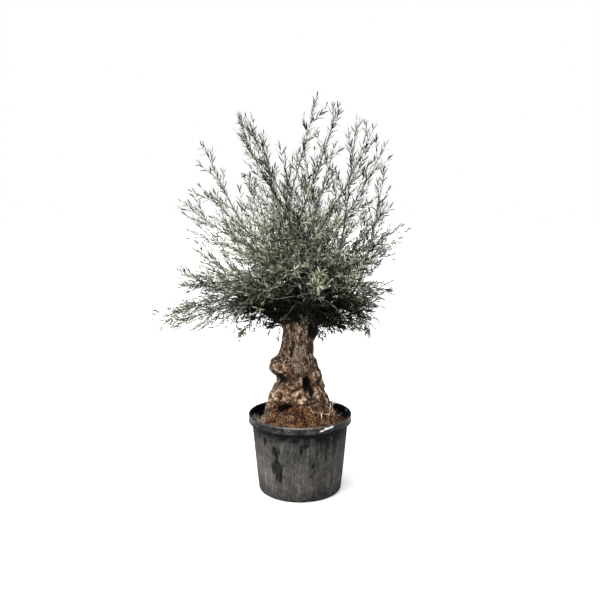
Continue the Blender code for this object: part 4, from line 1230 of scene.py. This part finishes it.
STEM_RADIUS = 0.0050
STEM_SWELL = 0.0030
STEM_TIP_RADIUS = 0.0022
BARE_SHARE = 0.20
TWIG_SHARE = 0.48
TWIG_SPACING = 0.16
PAIR_SPACING = 0.115
PORT = 0.007
STEM_START = 0.16
STEM_END = 0.38
STEM_LIFT = 0.30
LIFTED_FROM_TO = (-0.1, 0.6)
STEM_FOOT = 1.25 * GAP
CURVE_STEPS = 24
# How many balls stand for the trunk in the test for room
TRUNK_BALLS = 18
DETOUR = 1.6
STEM_GAP = 0.004
SEAT_LENGTH = 0.035


def crown_tips():
    """The leaders, then shoots that fill the crown's front and back by rule."""
    tips = [Vector(tip) for tip in LEADERS]
    for i in range(SIDE_SHOOTS):
        face = -90 if i % 2 else 90
        azimuth = face + FACE_SPREAD * ((i * GOLDEN) % 1 - 0.5)
        elevation = LOWEST_SHOOT + SHOOT_RISE * ((i + 0.5) / SIDE_SHOOTS) ** SHOOT_RISE_POWER
        reach = SHOOT_REACH + EXTRA_REACH * math.radians(max(0, elevation)) - REACH_STEP * (i % 3)
        tips.append(CROWN_HEART + turned(azimuth, elevation) * reach)
    return tips


class Room:
    """The space already taken, as balls along every stem, so that no two of them cross.

    The balls are a step apart. Each is listed in the cells that it reaches into, or nearly.
    """

    step = 0.004
    cell = 0.036
    reach = 0.009

    def __init__(self):
        self.cells = {}

    def balls(self, line, radii):
        for p, q, r, s in zip(line, line[1:], radii, radii[1:]):
            count = max(1, math.ceil((q - p).length / self.step))
            for i in range(count):
                yield p.lerp(q, i / count), r + (s - r) * i / count
        yield line[-1], radii[-1]

    def take(self, line, radii, owner):
        for middle, radius in self.balls(line, radii):
            reach = radius + self.reach
            low = [math.floor((c - reach) / self.cell) for c in middle]
            high = [math.floor((c + reach) / self.cell) for c in middle]
            for key in itertools.product(*(range(a, b + 1) for a, b in zip(low, high))):
                self.cells.setdefault(key, []).append((middle, radius, owner))

    def is_free(self, line, radii, margin, spared, spared_length):
        """Whether a line keeps clear. Near its start it may touch the owner that it grows from."""
        for middle, radius in self.balls(line, radii):
            at_start = (middle - line[0]).length < spared_length
            key = tuple(math.floor(c / self.cell) for c in middle)
            for other, other_radius, owner in self.cells.get(key, ()):
                if at_start and owner == spared:
                    continue
                if (middle - other).length < radius + other_radius + margin:
                    return False
        return True


def bezier(p0, p1, p2, p3, t):
    """The place at t on a curve with two ends and two handles."""
    return p0 * (1 - t) ** 3 + p1 * 3 * t * (1 - t) ** 2 + p2 * 3 * t * t * (1 - t) + p3 * t**3


def length_of(line):
    return sum((q - p).length for p, q in zip(line, line[1:]))


def point_at(line, distance):
    """The point so far along a line of vectors."""
    for p, q in zip(line, line[1:]):
        step = (q - p).length
        if distance <= step:
            return p.lerp(q, distance / step)
        distance -= step
    return line[-1].copy()


def spaced(first, last, count):
    """So many numbers, evenly from first to last."""
    return [first + (last - first) * i / max(1, count - 1) for i in range(count)]


def stem_line(tip, seat, outward):
    """The way a stem takes from its seat: out of the bark, then up and over to just short of its tip."""
    straight = tip - seat
    reach = straight.length
    lift = STEM_LIFT * float(smooth_step(*LIFTED_FROM_TO, straight.z / reach))
    ending = (straight.normalized() + Vector((0, 0, lift))).normalized()
    end = tip - ending * LEAF_LENGTH
    curve = (seat, seat + outward * STEM_START * reach, end - ending * STEM_END * reach, end)
    return [bezier(*curve, i / CURVE_STEPS) for i in range(CURVE_STEPS + 1)]


def main_stem(tip, seat):
    """A stem's smooth line, and the points and radii that its solid has."""
    _, place, outward = seat
    line = stem_line(tip, place + outward * STEM_FOOT, outward)
    whole = length_of(line)
    first, last = BARE_SHARE * whole, whole - PORT
    twiggy_length = TWIG_SHARE * (last - first)
    twiggy = max(2, round(twiggy_length / TWIG_SPACING))
    paired = max(2, round((last - first - twiggy_length) / PAIR_SPACING))
    stations = spaced(first, first + twiggy_length, twiggy + 1)[:-1]
    stations += spaced(first + twiggy_length, last, paired + 1)
    marks = [0.0, 0.5 * first] + [m + step for m in stations for step in (0, PORT)]
    root = STEM_RADIUS + STEM_SWELL * min(1.0, whole)
    radii = [root + (STEM_TIP_RADIUS - root) * m / whole for m in marks]
    return line, [point_at(line, m) for m in marks], radii


def plan_stems():
    """Gives every tip a free seat whose way to it is clear, the shortest and straightest way first."""
    room = Room()
    for number, limb in enumerate(LIMBS):
        points, radii = limb_line(limb)
        room.take(points, radii, number)
    above = [SOIL_BAND + (TRUNK_TOP - SOIL_BAND) * i / TRUNK_BALLS for i in range(TRUNK_BALLS + 1)]
    trunk_line = [Vector((table_value(TRUNK_LEAN, z), 0, z)) for z in [TRUNK_FOOT] + above]
    room.take(trunk_line, [table_value(TRUNK_RADIUS, p.z) for p in trunk_line], None)
    free = seats()
    stems = []
    for tip in crown_tips():
        def effort(seat):
            way = tip - seat[1]
            return way.length * (DETOUR - way.normalized().dot(seat[2]))
        for seat in sorted(free, key=effort):
            line, points, radii = main_stem(tip, seat)
            if room.is_free(points, radii, STEM_GAP, seat[0], SEAT_LENGTH):
                free.remove(seat)
                room.take(points, radii, len(LIMBS) + len(stems))
                stems.append((line, radii[0]))
                break
    return stems


# Fine foliage

FINE_LEAF = 0.058
FINE_WIDTH = 0.0080
NODE_SPACING = 0.0205
# How far the fine stem runs on past the solid's last joint, by its height
STEM_EXTRA = [(0.90, 0.056), (1.10, 0.026), (1.80, 0.044)]
# The stems that end further back or forward than this run on by less
EXTRA_DEPTH = (0.30, 0.2)
TAIL_DROOP = [(0.95, 0.45), (1.10, 0.0)]
STEM_LEAVES_FROM = 0.42
TWIG_LEAVES_FROM = 0.18
TWIGS_FROM_TO = (0.08, 0.94)
TWIG_EVERY = 0.034
TWIG_TILTS = (22, 50)
# A side shoot's length by its place on the stem
TWIG_LENGTH = [(0.0, 0.17), (0.25, 0.25), (0.60, 0.175), (0.95, 0.100)]
# How much wider side shoots and leaves are spaced by their height, for the airy top
AIRY_TWIGS = [
    (1.28, 0.80), (1.40, 1.10), (1.54, 2.10), (1.68, 2.25), (1.88, 2.20), (2.00, 1.80), (2.20, 1.30),
]
# How long the leaves are by height, smaller in the thick of the crown
LEAF_SIZE = [(1.15, 0.68), (1.45, 0.74), (1.75, 0.92)]
AIRY_LEAVES = [(1.40, 1.0), (1.70, 1.10), (2.10, 1.10)]
# Where side shoots stand closer or wider: the stems that end from left to right and from low to
# high, and by how much
SPACING_BY_END = [
    (0.30, 0.70, 0.0, 1.30, 0.50), (-0.90, -0.50, 0.0, 1.10, 1.00), (-0.90, -0.50, 1.10, 1.50, 0.70),
    (-0.40, -0.25, 2.0, 3.0, 0.70), (-0.30, 0.30, 1.15, 1.90, 1.45),
]
SMALL_TWIG_EVERY = 0.075
SMALL_TWIGS_FROM_TO = (0.2, 0.8)
SMALL_TWIG_TILTS = (22, 42)
TWIG_POINTS = 8
# Short twigs that fill the crown's inside, on this part of the stem
THICKET_FROM_TO = (0.03, 0.34)
THICKET_EVERY = 0.030
THICKET_TILTS = (40, 88)
# Shoots: radius at their foot and tip, sides, every so many points, and how young they look from
# foot to tip
TWIG = (0.0017, 0.0007, 4, 1, (0.3, 1))
SMALL_TWIG = (0.0010, 0.0006, 3, 2, (0.6, 1))
THICKET = (0.0013, 0.0007, 3, 2, (0.2, 0.8))
SPROUT = (0.0021, 0.0008, 4, 1, (0.1, 0.9))
TUFT_SHOOT = (0.0018, 0.0009, 4, 1, (0.3, 1))
STEM_RINGS = 44
STEM_SIDES = 7
STEM_FINE_TIP = 0.0010
# Side shoots of a twig this long or longer, and how their lengths go by their place
LONG_TWIG = 0.14
SMALL_LENGTHS = [(0, 0.10), (1, 0.07)]
THICKET_LENGTHS = [(0, 0.10), (1, 0.14)]
# A stem shorter than this has shorter side shoots
FULL_STEM = 0.65
# How far side shoots turn from each other round the stem, in radians
NEXT_ROUND = 2.4
LEAF_TILT = math.radians(33)
# The share of leaves that have fallen, and how many stand at each tip
FALLEN = 0.08
TIP_LEAVES = 2
# The shaded inside of the crown: its middle and its half width, half depth and half height
SHADE_MIDDLE = np.array([-0.01, -0.05, 1.02])
SHADE_SIZE = np.array([0.48, 0.90, 0.29])
SHADE_EDGE = (0.48, 1.10)
# The pale middle, where painted light turns most leaves towards their light colour, as if sunlit
LIT_MIDDLE = np.array([-0.12, -0.10, 1.42])
LIT_SIZE = np.array([0.66, 0.80, 0.36])
LIT_BY = 1.25
PALE_LEAVES = 0.18
# The crown's half width and half depth, for the shade inside it, the heights between which that
# shade ends, and its strength
INSIDE_SIZE = (0.60, 0.36)
INSIDE_TOP = (1.90, 1.45)
INSIDE_SHADE = 0.50
# How much darker the leaves of the high plumes are
PLUME_TONE = [(1.50, 1.0), (1.80, 0.70)]
SPROUTS = 440
SPROUT_PIECES = 4
SPROUT_SEATS = 20
# No sprout ends lower than this, and those before the trunk end higher still
LOWEST_SPROUT = 0.940
BEFORE_TRUNK = (0.10, 0.09)
# No twig ends lower than this, nearer to the trunk's middle and in front of this
HANGING = [(0.950, 0.16, 0.10), (1.010, 0.11, 0.0), (0.930, 1.0, 1.0)]

UPPER, UNDER, SHOOT = 0, 1, 2
# Where a blade's rings are along it, and how wide each is
BLADE = [(0.28, 0.94), (0.68, 0.90)]


def blade_template():
    """The corners of a blade: its foot, rings of left edge, rib and right edge, and its point."""
    across, along, up = [0.0], [0.0], [0.0]
    for place, width in BLADE:
        across += [-width / 2, 0.0, width / 2]
        along += [place] * 3
        up += [0.0, 0.11 * width, 0.0]
    return np.array(across + [0.0]), np.array(along + [1.0]), np.array(up + [0.0])


def blade_faces():
    """The faces of a blade and which side each belongs to."""
    faces3, faces4 = [], []
    sides = [UPPER, UPPER, UNDER]
    last = 3 * len(BLADE) - 2
    for k in range(3):
        j = (k + 1) % 3
        faces3 += [(1 + j, 1 + k, 0), (last + k, last + j, last + 3)]
        for low in range(1, last, 3):
            faces4.append((low + k, low + j, low + 3 + j, low + 3 + k))
    kinds3 = [side for side in sides for _ in range(2)]
    kinds4 = [side for side in sides for _ in range(len(BLADE) - 1)]
    return np.array(faces3), np.array(kinds3), np.array(faces4), np.array(kinds4)


def blades(starts, directions, ups, lengths, widths, bends, tones):
    """Many leaves at once, each bent in an arc towards its upper side or away from it."""
    across, along, up = blade_template()
    count, corners = len(starts), len(across)
    side = unit(np.cross(directions, ups))
    ups = np.cross(side, directions)
    bends = np.where(np.abs(bends) < 0.02, 0.02, bends)[:, None]
    turn = bends * along[None, :]
    forward = lengths[:, None] * np.sin(turn) / bends
    rise = lengths[:, None] * (1 - np.cos(turn)) / bends + widths[:, None] * up[None, :]
    points = (
        starts[:, None] + forward[..., None] * directions[:, None] + rise[..., None] * ups[:, None]
        + (widths[:, None] * across[None, :])[..., None] * side[:, None]
    )
    faces3, kinds3, faces4, kinds4 = blade_faces()
    shift = (np.arange(count) * corners)[:, None, None]
    return {
        "points": points.reshape(-1, 3),
        "faces": [(faces3[None] + shift).reshape(-1, 3), (faces4[None] + shift).reshape(-1, 4)],
        "kinds": [np.tile(kinds3, count), np.tile(kinds4, count)],
        "values": {"tone": np.repeat(tones, corners), "across": np.tile(2 * np.abs(across), count)},
    }


def leafy(line, first, draw, scale=1.0):
    """The leaves of one shoot, in pairs that turn a quarter from node to node, and those at its tip."""
    marks = marks_of(line)
    whole = marks[-1]
    across, over, along = line_frames(line, unit(scatter(draw, 1)))
    rows = []
    mark = first * whole
    quarter = draw.uniform(0, math.pi)
    while mark < whole:
        share = mark / whole
        where, i = place_on(line, marks, mark), next_point(marks, mark)
        size = scale * table_value(LEAF_SIZE, where[2])
        length = FINE_LEAF * size * draw.uniform(0.75, 1.15) * (1.05 - 0.3 * share**3)
        for half in (0, math.pi):
            if draw.random() < FALLEN:
                continue
            a = quarter + half + draw.uniform(-0.4, 0.4)
            radial = across[i] * math.cos(a) + over[i] * math.sin(a)
            tilt = LEAF_TILT * draw.uniform(0.55, 1.45) * (1.15 - 0.35 * share)
            rows.append((where, along[i] * math.cos(tilt) + radial * math.sin(tilt), along[i], length))
        quarter += math.pi / 2 + draw.uniform(-0.25, 0.25)
        airy = table_value(AIRY_LEAVES, where[2])
        mark += NODE_SPACING * (0.15 + 0.85 * size) * airy * draw.uniform(0.85, 1.25)
    for _ in range(TIP_LEAVES):
        tip = unit(along[-1] + scatter(draw, 0.2))
        rows.append((line[-1], tip, across[-1], FINE_LEAF * scale * draw.uniform(0.50, 0.80)))
    return rows


def next_point(marks, mark):
    """The number of a line's next point at a distance along it."""
    return min(int(np.searchsorted(marks, mark)), len(marks) - 1)


def curved_twig(start, parent, side, length, tilt, up, draw):
    """A side shoot's line, which turns from its own direction towards its parent's and the light."""
    heading = unit(parent * math.cos(tilt) + side * math.sin(tilt))
    ending = unit(heading * 0.9 + parent * 0.45 + np.array([0, 0, up]))
    end = start + (heading + ending) * length * 0.5 + scatter(draw, 0.06) * length
    t = np.linspace(0, 1, TWIG_POINTS)[:, None]
    return bezier(start, start + heading * length * 0.4, end - ending * length * 0.3, end, t)


def shade_at(points):
    """How light it is at each place, from 0 in the shaded heart of the crown to 1."""
    return smooth_step(*SHADE_EDGE, np.linalg.norm((points - SHADE_MIDDLE) / SHADE_SIZE, axis=1))


def inside_at(points):
    """How far inside the crown each place is, from 0 at its surface to 1, and 0 in the high plumes."""
    out = np.hypot(points[:, 0] / INSIDE_SIZE[0], points[:, 1] / INSIDE_SIZE[1])
    return smooth_step(0.80, 0.25, out) * smooth_step(*INSIDE_TOP, points[:, 2])


def leaf_tone(draw):
    """How light a leaf is: most are dark, and some of them pale."""
    return draw.random() ** 3.0 if draw.random() > PALE_LEAVES else draw.uniform(0.8, 1.35)


def leaf_part(rows, draw, pale=0.0):
    """Turns leaf rows (start, direction, upper side, length) into blades, darkened with painted shade in
    the crown's heart and inside, and lightened with painted light in its pale middle.
    """
    starts = np.array([row[0] for row in rows])
    directions = unit(np.array([row[1] for row in rows]))
    ups = np.array([row[2] + scatter(draw, 0.45) + (0, 0, 0.35) for row in rows])
    ups = unit(ups - directions * (ups * directions).sum(1)[:, None])
    lengths = np.array([row[3] for row in rows])
    widths = lengths / FINE_LEAF * FINE_WIDTH * np.array([draw.uniform(0.8, 1.2) for _ in rows])
    bends = np.array([draw.gauss(-0.15, 0.40) for _ in rows])
    tones = np.array([leaf_tone(draw) for _ in rows])
    # Painted shade in the crown's heart and inside it, and painted light in its pale middle, put into the
    # leaves' tones
    below = shade_at(starts) * (1 - INSIDE_SHADE * inside_at(starts))
    lit = smooth_step(1.0, 0.3, np.linalg.norm((starts - LIT_MIDDLE) / LIT_SIZE, axis=1))
    by_height = table_value(PLUME_TONE, starts[:, 2])
    tones = (tones * by_height + LIT_BY * lit * (0.10 + 0.90 * tones)) * below
    return blades(starts, directions, ups, lengths, widths, bends, pale + tones)


def twigs_along(line, draw, every, lengths, from_to, tilts):
    """Side shoots of a line, as lines and lengths. A length goes by its place on the line.

    from_to says on which part of the line they stand, and tilts how many degrees they turn off it.
    """
    first, last = from_to
    marks = marks_of(line)
    whole = marks[-1]
    across, over, along = line_frames(line, (0.3, 0.5, 0.2))
    found = []
    mark, turn = first * whole, draw.uniform(0, 2 * math.pi)
    while mark < last * whole:
        share = mark / whole
        start, i = place_on(line, marks, mark), next_point(marks, mark)
        side = across[i] * math.cos(turn) + over[i] * math.sin(turn)
        length = table_value(lengths, share) * draw.uniform(0.65, 1.2)
        tilt = math.radians(draw.uniform(*tilts) * (1.12 - 0.35 * share))
        found.append((curved_twig(start, along[i], side, length, tilt, 0.10, draw), length))
        turn += NEXT_ROUND
        mark += every * table_value(AIRY_TWIGS, start[2]) * draw.uniform(0.7, 1.3)
    return found


def shoot_tube(line, look):
    """A shoot's bark, by the look of its kind, darker with painted shade in the crown's heart."""
    foot, tip, sides, step, young = look
    line = line[::step]
    # Painted shade: the shoot's bark darkens in the crown's heart
    light = np.linspace(*young, len(line)) * shade_at(line)
    return tube(line, np.linspace(foot, tip, len(line)), sides, {"young": light}, SHOOT)


def hangs(twig):
    """Whether a twig hangs down in front of the trunk, just beside it or below the crown."""
    across, deep, up = twig[-1]
    return any(up < lowest and abs(across) < beside and deep < front for lowest, beside, front in HANGING)


def spray(line, radius, draw):
    """All the parts of one bough: its stem, side shoots, their side shoots and every leaf."""
    parts, rows = [], []

    def grow(twig, look, leaves_from, scale=1.0):
        parts.append(shoot_tube(twig, look))
        rows.extend(leafy(twig, leaves_from, draw, scale))

    across, deep, up = line[-1]
    extra = table_value(STEM_EXTRA, up) * (1 if abs(deep) < EXTRA_DEPTH[0] else EXTRA_DEPTH[1])
    ending = unit(line[-1] - line[-2]) - (0, 0, table_value(TAIL_DROOP, up))
    line = np.concatenate([line, line[-1:] + unit(ending) * extra])
    stem, radii = resampled(line, np.linspace(radius, STEM_FINE_TIP, len(line)), STEM_RINGS)
    # Painted shade: the stem's bark darkens in the crown's heart
    young = np.linspace(0, 0.9, STEM_RINGS) * shade_at(stem)
    parts.append(tube(stem, radii, STEM_SIDES, {"young": young}, SHOOT))
    rows += leafy(stem, STEM_LEAVES_FROM, draw)
    shorter = min(1.0, marks_of(stem)[-1] / FULL_STEM)
    lengths = [(share, length * shorter) for share, length in TWIG_LENGTH]
    every = TWIG_EVERY
    across, deep, up = line[-1]
    for left, right, low, high, factor in SPACING_BY_END:
        if left < across < right and low < up < high:
            every *= factor
    for twig, length in twigs_along(stem, draw, every, lengths, TWIGS_FROM_TO, TWIG_TILTS):
        if hangs(twig):
            continue
        grow(twig, TWIG, TWIG_LEAVES_FROM)
        if length > LONG_TWIG:
            small_ones = (SMALL_TWIG_EVERY, SMALL_LENGTHS, SMALL_TWIGS_FROM_TO, SMALL_TWIG_TILTS)
            for small, _ in twigs_along(twig, draw, *small_ones):
                grow(small, SMALL_TWIG, 0.3, 0.9)
    thicket = (THICKET_EVERY, THICKET_LENGTHS, THICKET_FROM_TO, THICKET_TILTS)
    for twig, _ in twigs_along(stem, draw, *thicket):
        if not hangs(twig):
            grow(twig, THICKET, 0.25, 0.95)
    return parts + [leaf_part(rows, draw)]


def make_foliage(finishes, stems):
    for number, (line, radius) in enumerate(stems):
        draw = random.Random(SEED * 1000 + number)
        parts = spray(np.array([list(p) for p in line]), radius, draw)
        bough = piece(f"olive_spray_{number + 1:02d}", parts, finishes)
        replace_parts(bough, f"bough_{number + 1:02d}")


def make_sprouts(finishes):
    """Short leafy shoots that crowd the limbs and the trunk's head and hide them."""
    draw = random.Random(SEED + 5)
    beside, higher = BEFORE_TRUNK
    for number in range(SPROUT_PIECES):
        parts, rows = [], []
        while len(parts) < SPROUTS // SPROUT_PIECES:
            points, thick = resampled(*limb_line(LIMBS[draw.randrange(len(LIMBS))]), SPROUT_SEATS)
            k = draw.randrange(1, SPROUT_SEATS)
            side = unit(scatter(draw, 1) * (1, 1, 0.6) - (0, 0, 0.25))
            outward = unit(np.array([points[k][0], points[k][1], 0.0]) + 1e-6)
            heading = unit(side + outward * 0.9)
            length = draw.uniform(0.12, 0.27)
            start = points[k] + heading * thick[k] * 0.5
            twig = curved_twig(start, heading, side, length, 0.35, 0.04, draw)
            across, deep, up = twig[-1]
            if up < LOWEST_SPROUT + (higher if abs(across) < beside and deep < 0 else 0):
                continue
            parts.append(shoot_tube(twig, SPROUT))
            rows += leafy(twig, 0.15, draw)
        parts.append(leaf_part(rows, draw))
        piece(f"olive_sprouts_{number + 1}", parts, finishes)


# Pale rosettes at the ends of bent shoots: place, how many leaves, their length, how far they hang
ROSETTES = [
    ((0.084, -0.500, 1.253), 26, 0.058, 0.0), ((0.100, -0.490, 1.300), 8, 0.044, 0.6),
    ((-0.208, -0.420, 1.120), 6, 0.046, -0.7), ((-0.318, -0.160, 0.962), 16, 0.054, -1.0),
    ((0.020, -0.300, 1.045), 11, 0.044, -0.1), ((-0.030, -0.470, 1.318), 7, 0.042, 0.4),
]
ROSETTE_TONE = 0.35
# Thin bare shoots that cross the shaded middle: a point near where each leaves the wood, its bend
# and its end
BARE_SHOOTS = [
    ((-0.13, -0.42, 1.165), (-0.02, -0.46, 1.190), (0.09, -0.44, 1.205)),
    ((-0.05, -0.06, 1.010), (-0.11, -0.34, 1.045), (-0.07, -0.40, 1.075), (-0.03, -0.42, 1.135)),
    ((0.10, -0.42, 1.300), (0.15, -0.46, 1.350), (0.21, -0.44, 1.390)),
    ((0.13, -0.40, 1.160), (0.18, -0.44, 1.125), (0.22, -0.43, 1.080)),
    ((-0.10, -0.44, 1.275), (-0.04, -0.47, 1.300), (0.02, -0.46, 1.345)),
    ((-0.30, -0.36, 1.230), (-0.22, -0.42, 1.210), (-0.13, -0.43, 1.225)),
    ((0.24, -0.38, 1.210), (0.19, -0.43, 1.235), (0.13, -0.44, 1.290)),
]
# A bare shoot that starts nearer than this to the middle grows out of the trunk
FROM_TRUNK = 0.10
# A shoot that has curled into a hoop: its middle, its size, and from how many degrees to how many
# it goes and in how many points
HOOP = ((0.063, -0.490, 1.405), 0.033, (200, 560, 25))
# How young each kind of bare shoot looks, their radii at foot and tip and how many points they have
BARE_YOUNG = 0.8
HOOP_YOUNG = 1.8
BARE_RADII = (0.0014, 0.0008)
BARE_POINTS = 30
ROSETTE_POINTS = 10
# In how many places on each stem a shoot may start
WOOD_POINTS = 60


def rosette(place, count, length, hang, wood, draw):
    """A tuft of pale leaves on a shoot of its own that leaves the nearest stem."""
    place = np.array(place)
    start = wood[np.argmin(np.linalg.norm(wood - place + (0, 0, 0.06), axis=1))]
    way = place - start
    side = unit(np.cross(way, (0.2, 0.1, 1)))
    t = np.linspace(0, 1, ROSETTE_POINTS)[:, None]
    line = start + way * t + side * np.sin(math.pi * t) * 0.12 * np.linalg.norm(way)
    rows = []
    for i in range(count):
        a = NEXT_ROUND * i
        out = np.array([math.cos(a), -0.3, math.sin(a)]) + scatter(draw, 0.45) + (0, 0, hang)
        rows.append((place, out, np.array([0, -1, 0.5]), length * draw.uniform(0.7, 1.15)))
    return [shoot_tube(line, TUFT_SHOOT), leaf_part(rows, draw, ROSETTE_TONE)]


def make_rosettes(finishes, stems):
    """The pale tufts, the bare shoots and the hoop, each from the nearest stem or the trunk."""
    draw = random.Random(SEED + 7)
    wood = np.concatenate([resampled(line, [0] * len(line), WOOD_POINTS)[0] for line, _ in stems])
    parts = []
    for tuft in ROSETTES:
        parts += rosette(*tuft, wood, draw)
    middle, size, turn = HOOP
    around = np.radians(np.linspace(*turn))
    hoop = np.array(middle) + size * np.stack([np.cos(around), 0.3 * np.sin(around), np.sin(around)], -1)
    ways = [(np.array(points), BARE_YOUNG) for points in BARE_SHOOTS] + [(hoop, HOOP_YOUNG)]
    for way, young in ways:
        if np.hypot(way[0][0], way[0][1]) > FROM_TRUNK:
            way = np.concatenate([wood[[np.argmin(np.linalg.norm(wood - way[0], axis=1))]], way])
        line, radii = resampled(way, np.linspace(*BARE_RADII, len(way)), BARE_POINTS)
        for _ in range(4):
            line = softened(line)
        parts.append(tube(line, radii, 4, {"young": young}, SHOOT))
        parts.append(leaf_part(leafy(line, 0.55, draw, 0.6)[::2], draw, 0.5 * ROSETTE_TONE))
    piece("pale_rosettes", parts, finishes)


# Stage

FLOOR_SIZE = 60
FLOOR_WHITE = (0.80, 0.80, 0.80)
# The brightest part of the overcast light, high on the left in front, and how much brighter it is
LIGHT_FROM = Vector((-0.50, -0.42, 0.76)).normalized()
LIGHT_GAIN = 3.6
# How nearly a direction points there, from where its light begins to where it is brightest
LIGHT_SPREAD = (0.15, 1.0)
LAMP_PLACE = (-2.4, -2.6, 4.6)
LAMP_AIM = Vector((0, 0, 1.0))
LAMP_SIZE = 2.4
LAMP_POWER = 190


def make_floor():
    mesh = bpy.data.meshes.new("floor")
    corners = [(x * FLOOR_SIZE, y * FLOOR_SIZE, 0) for x, y in ((-1, -1), (1, -1), (1, 1), (-1, 1))]
    mesh.from_pydata(corners, [], [(0, 1, 2, 3)])
    floor = bpy.data.objects.new("floor", mesh)
    bpy.context.scene.collection.objects.link(floor)
    made = Finish("floor_white", 0.9, 0.0)
    made.shader.inputs["Base Color"].default_value = (*FLOOR_WHITE, 1)
    mesh.materials.append(made.material)


def make_light():
    """White light from all round, brighter towards its brightest part, and a soft lamp."""
    world = bpy.data.worlds.new("studio")
    world.use_nodes = True
    nodes, links = world.node_tree.nodes, world.node_tree.links
    facing = nodes.new("ShaderNodeVectorMath")
    facing.operation = "DOT_PRODUCT"
    facing.inputs[1].default_value = LIGHT_FROM
    links.new(nodes.new("ShaderNodeTexCoord").outputs["Generated"], facing.inputs[0])
    gain = nodes.new("ShaderNodeMapRange")
    gain.interpolation_type = "SMOOTHSTEP"
    sockets = ("From Min", "From Max", "To Min", "To Max")
    for socket, value in zip(sockets, (*LIGHT_SPREAD, 1.0, LIGHT_GAIN)):
        gain.inputs[socket].default_value = value
    links.new(facing.outputs["Value"], gain.inputs["Value"])
    background = nodes["Background"]
    background.inputs["Color"].default_value = (1, 1, 1, 1)
    links.new(gain.outputs["Result"], background.inputs["Strength"])
    bpy.context.scene.world = world
    lamp = bpy.data.lights.new("key", "AREA")
    lamp.shape = "DISK"
    lamp.size = LAMP_SIZE
    lamp.energy = LAMP_POWER
    key = bpy.data.objects.new("key", lamp)
    key.location = LAMP_PLACE
    key.rotation_euler = (LAMP_AIM - key.location).to_track_quat("-Z", "Y").to_euler()
    bpy.context.scene.collection.objects.link(key)


def make_camera():
    data = bpy.data.cameras.new("camera")
    data.lens = CAMERA_LENS
    data.sensor_width = SENSOR
    camera = bpy.data.objects.new("camera", data)
    camera.location = CAMERA_PLACE
    camera.rotation_euler = (math.radians(90 - CAMERA_DOWN), 0, 0)
    bpy.context.scene.collection.objects.link(camera)
    bpy.context.scene.camera = camera


def main():
    make_camera()
    make_light()
    make_floor()
    bpy.context.scene.view_settings.view_transform = "Standard"
    make_pot(pot_wall_finish(), pot_collar_finish())
    make_trunk(bark_finish())
    make_soil(mulch_finish())
    straw = straw_finish()
    make_fibres(straw)
    make_stalks(straw)
    make_weeds(weed_finish())
    finishes = [leaf_finish(*side) for side in LEAF_SIDES] + [shoot_finish()]
    stems = plan_stems()
    make_foliage(finishes, stems)
    make_sprouts(finishes)
    make_rosettes(finishes, stems)


main()
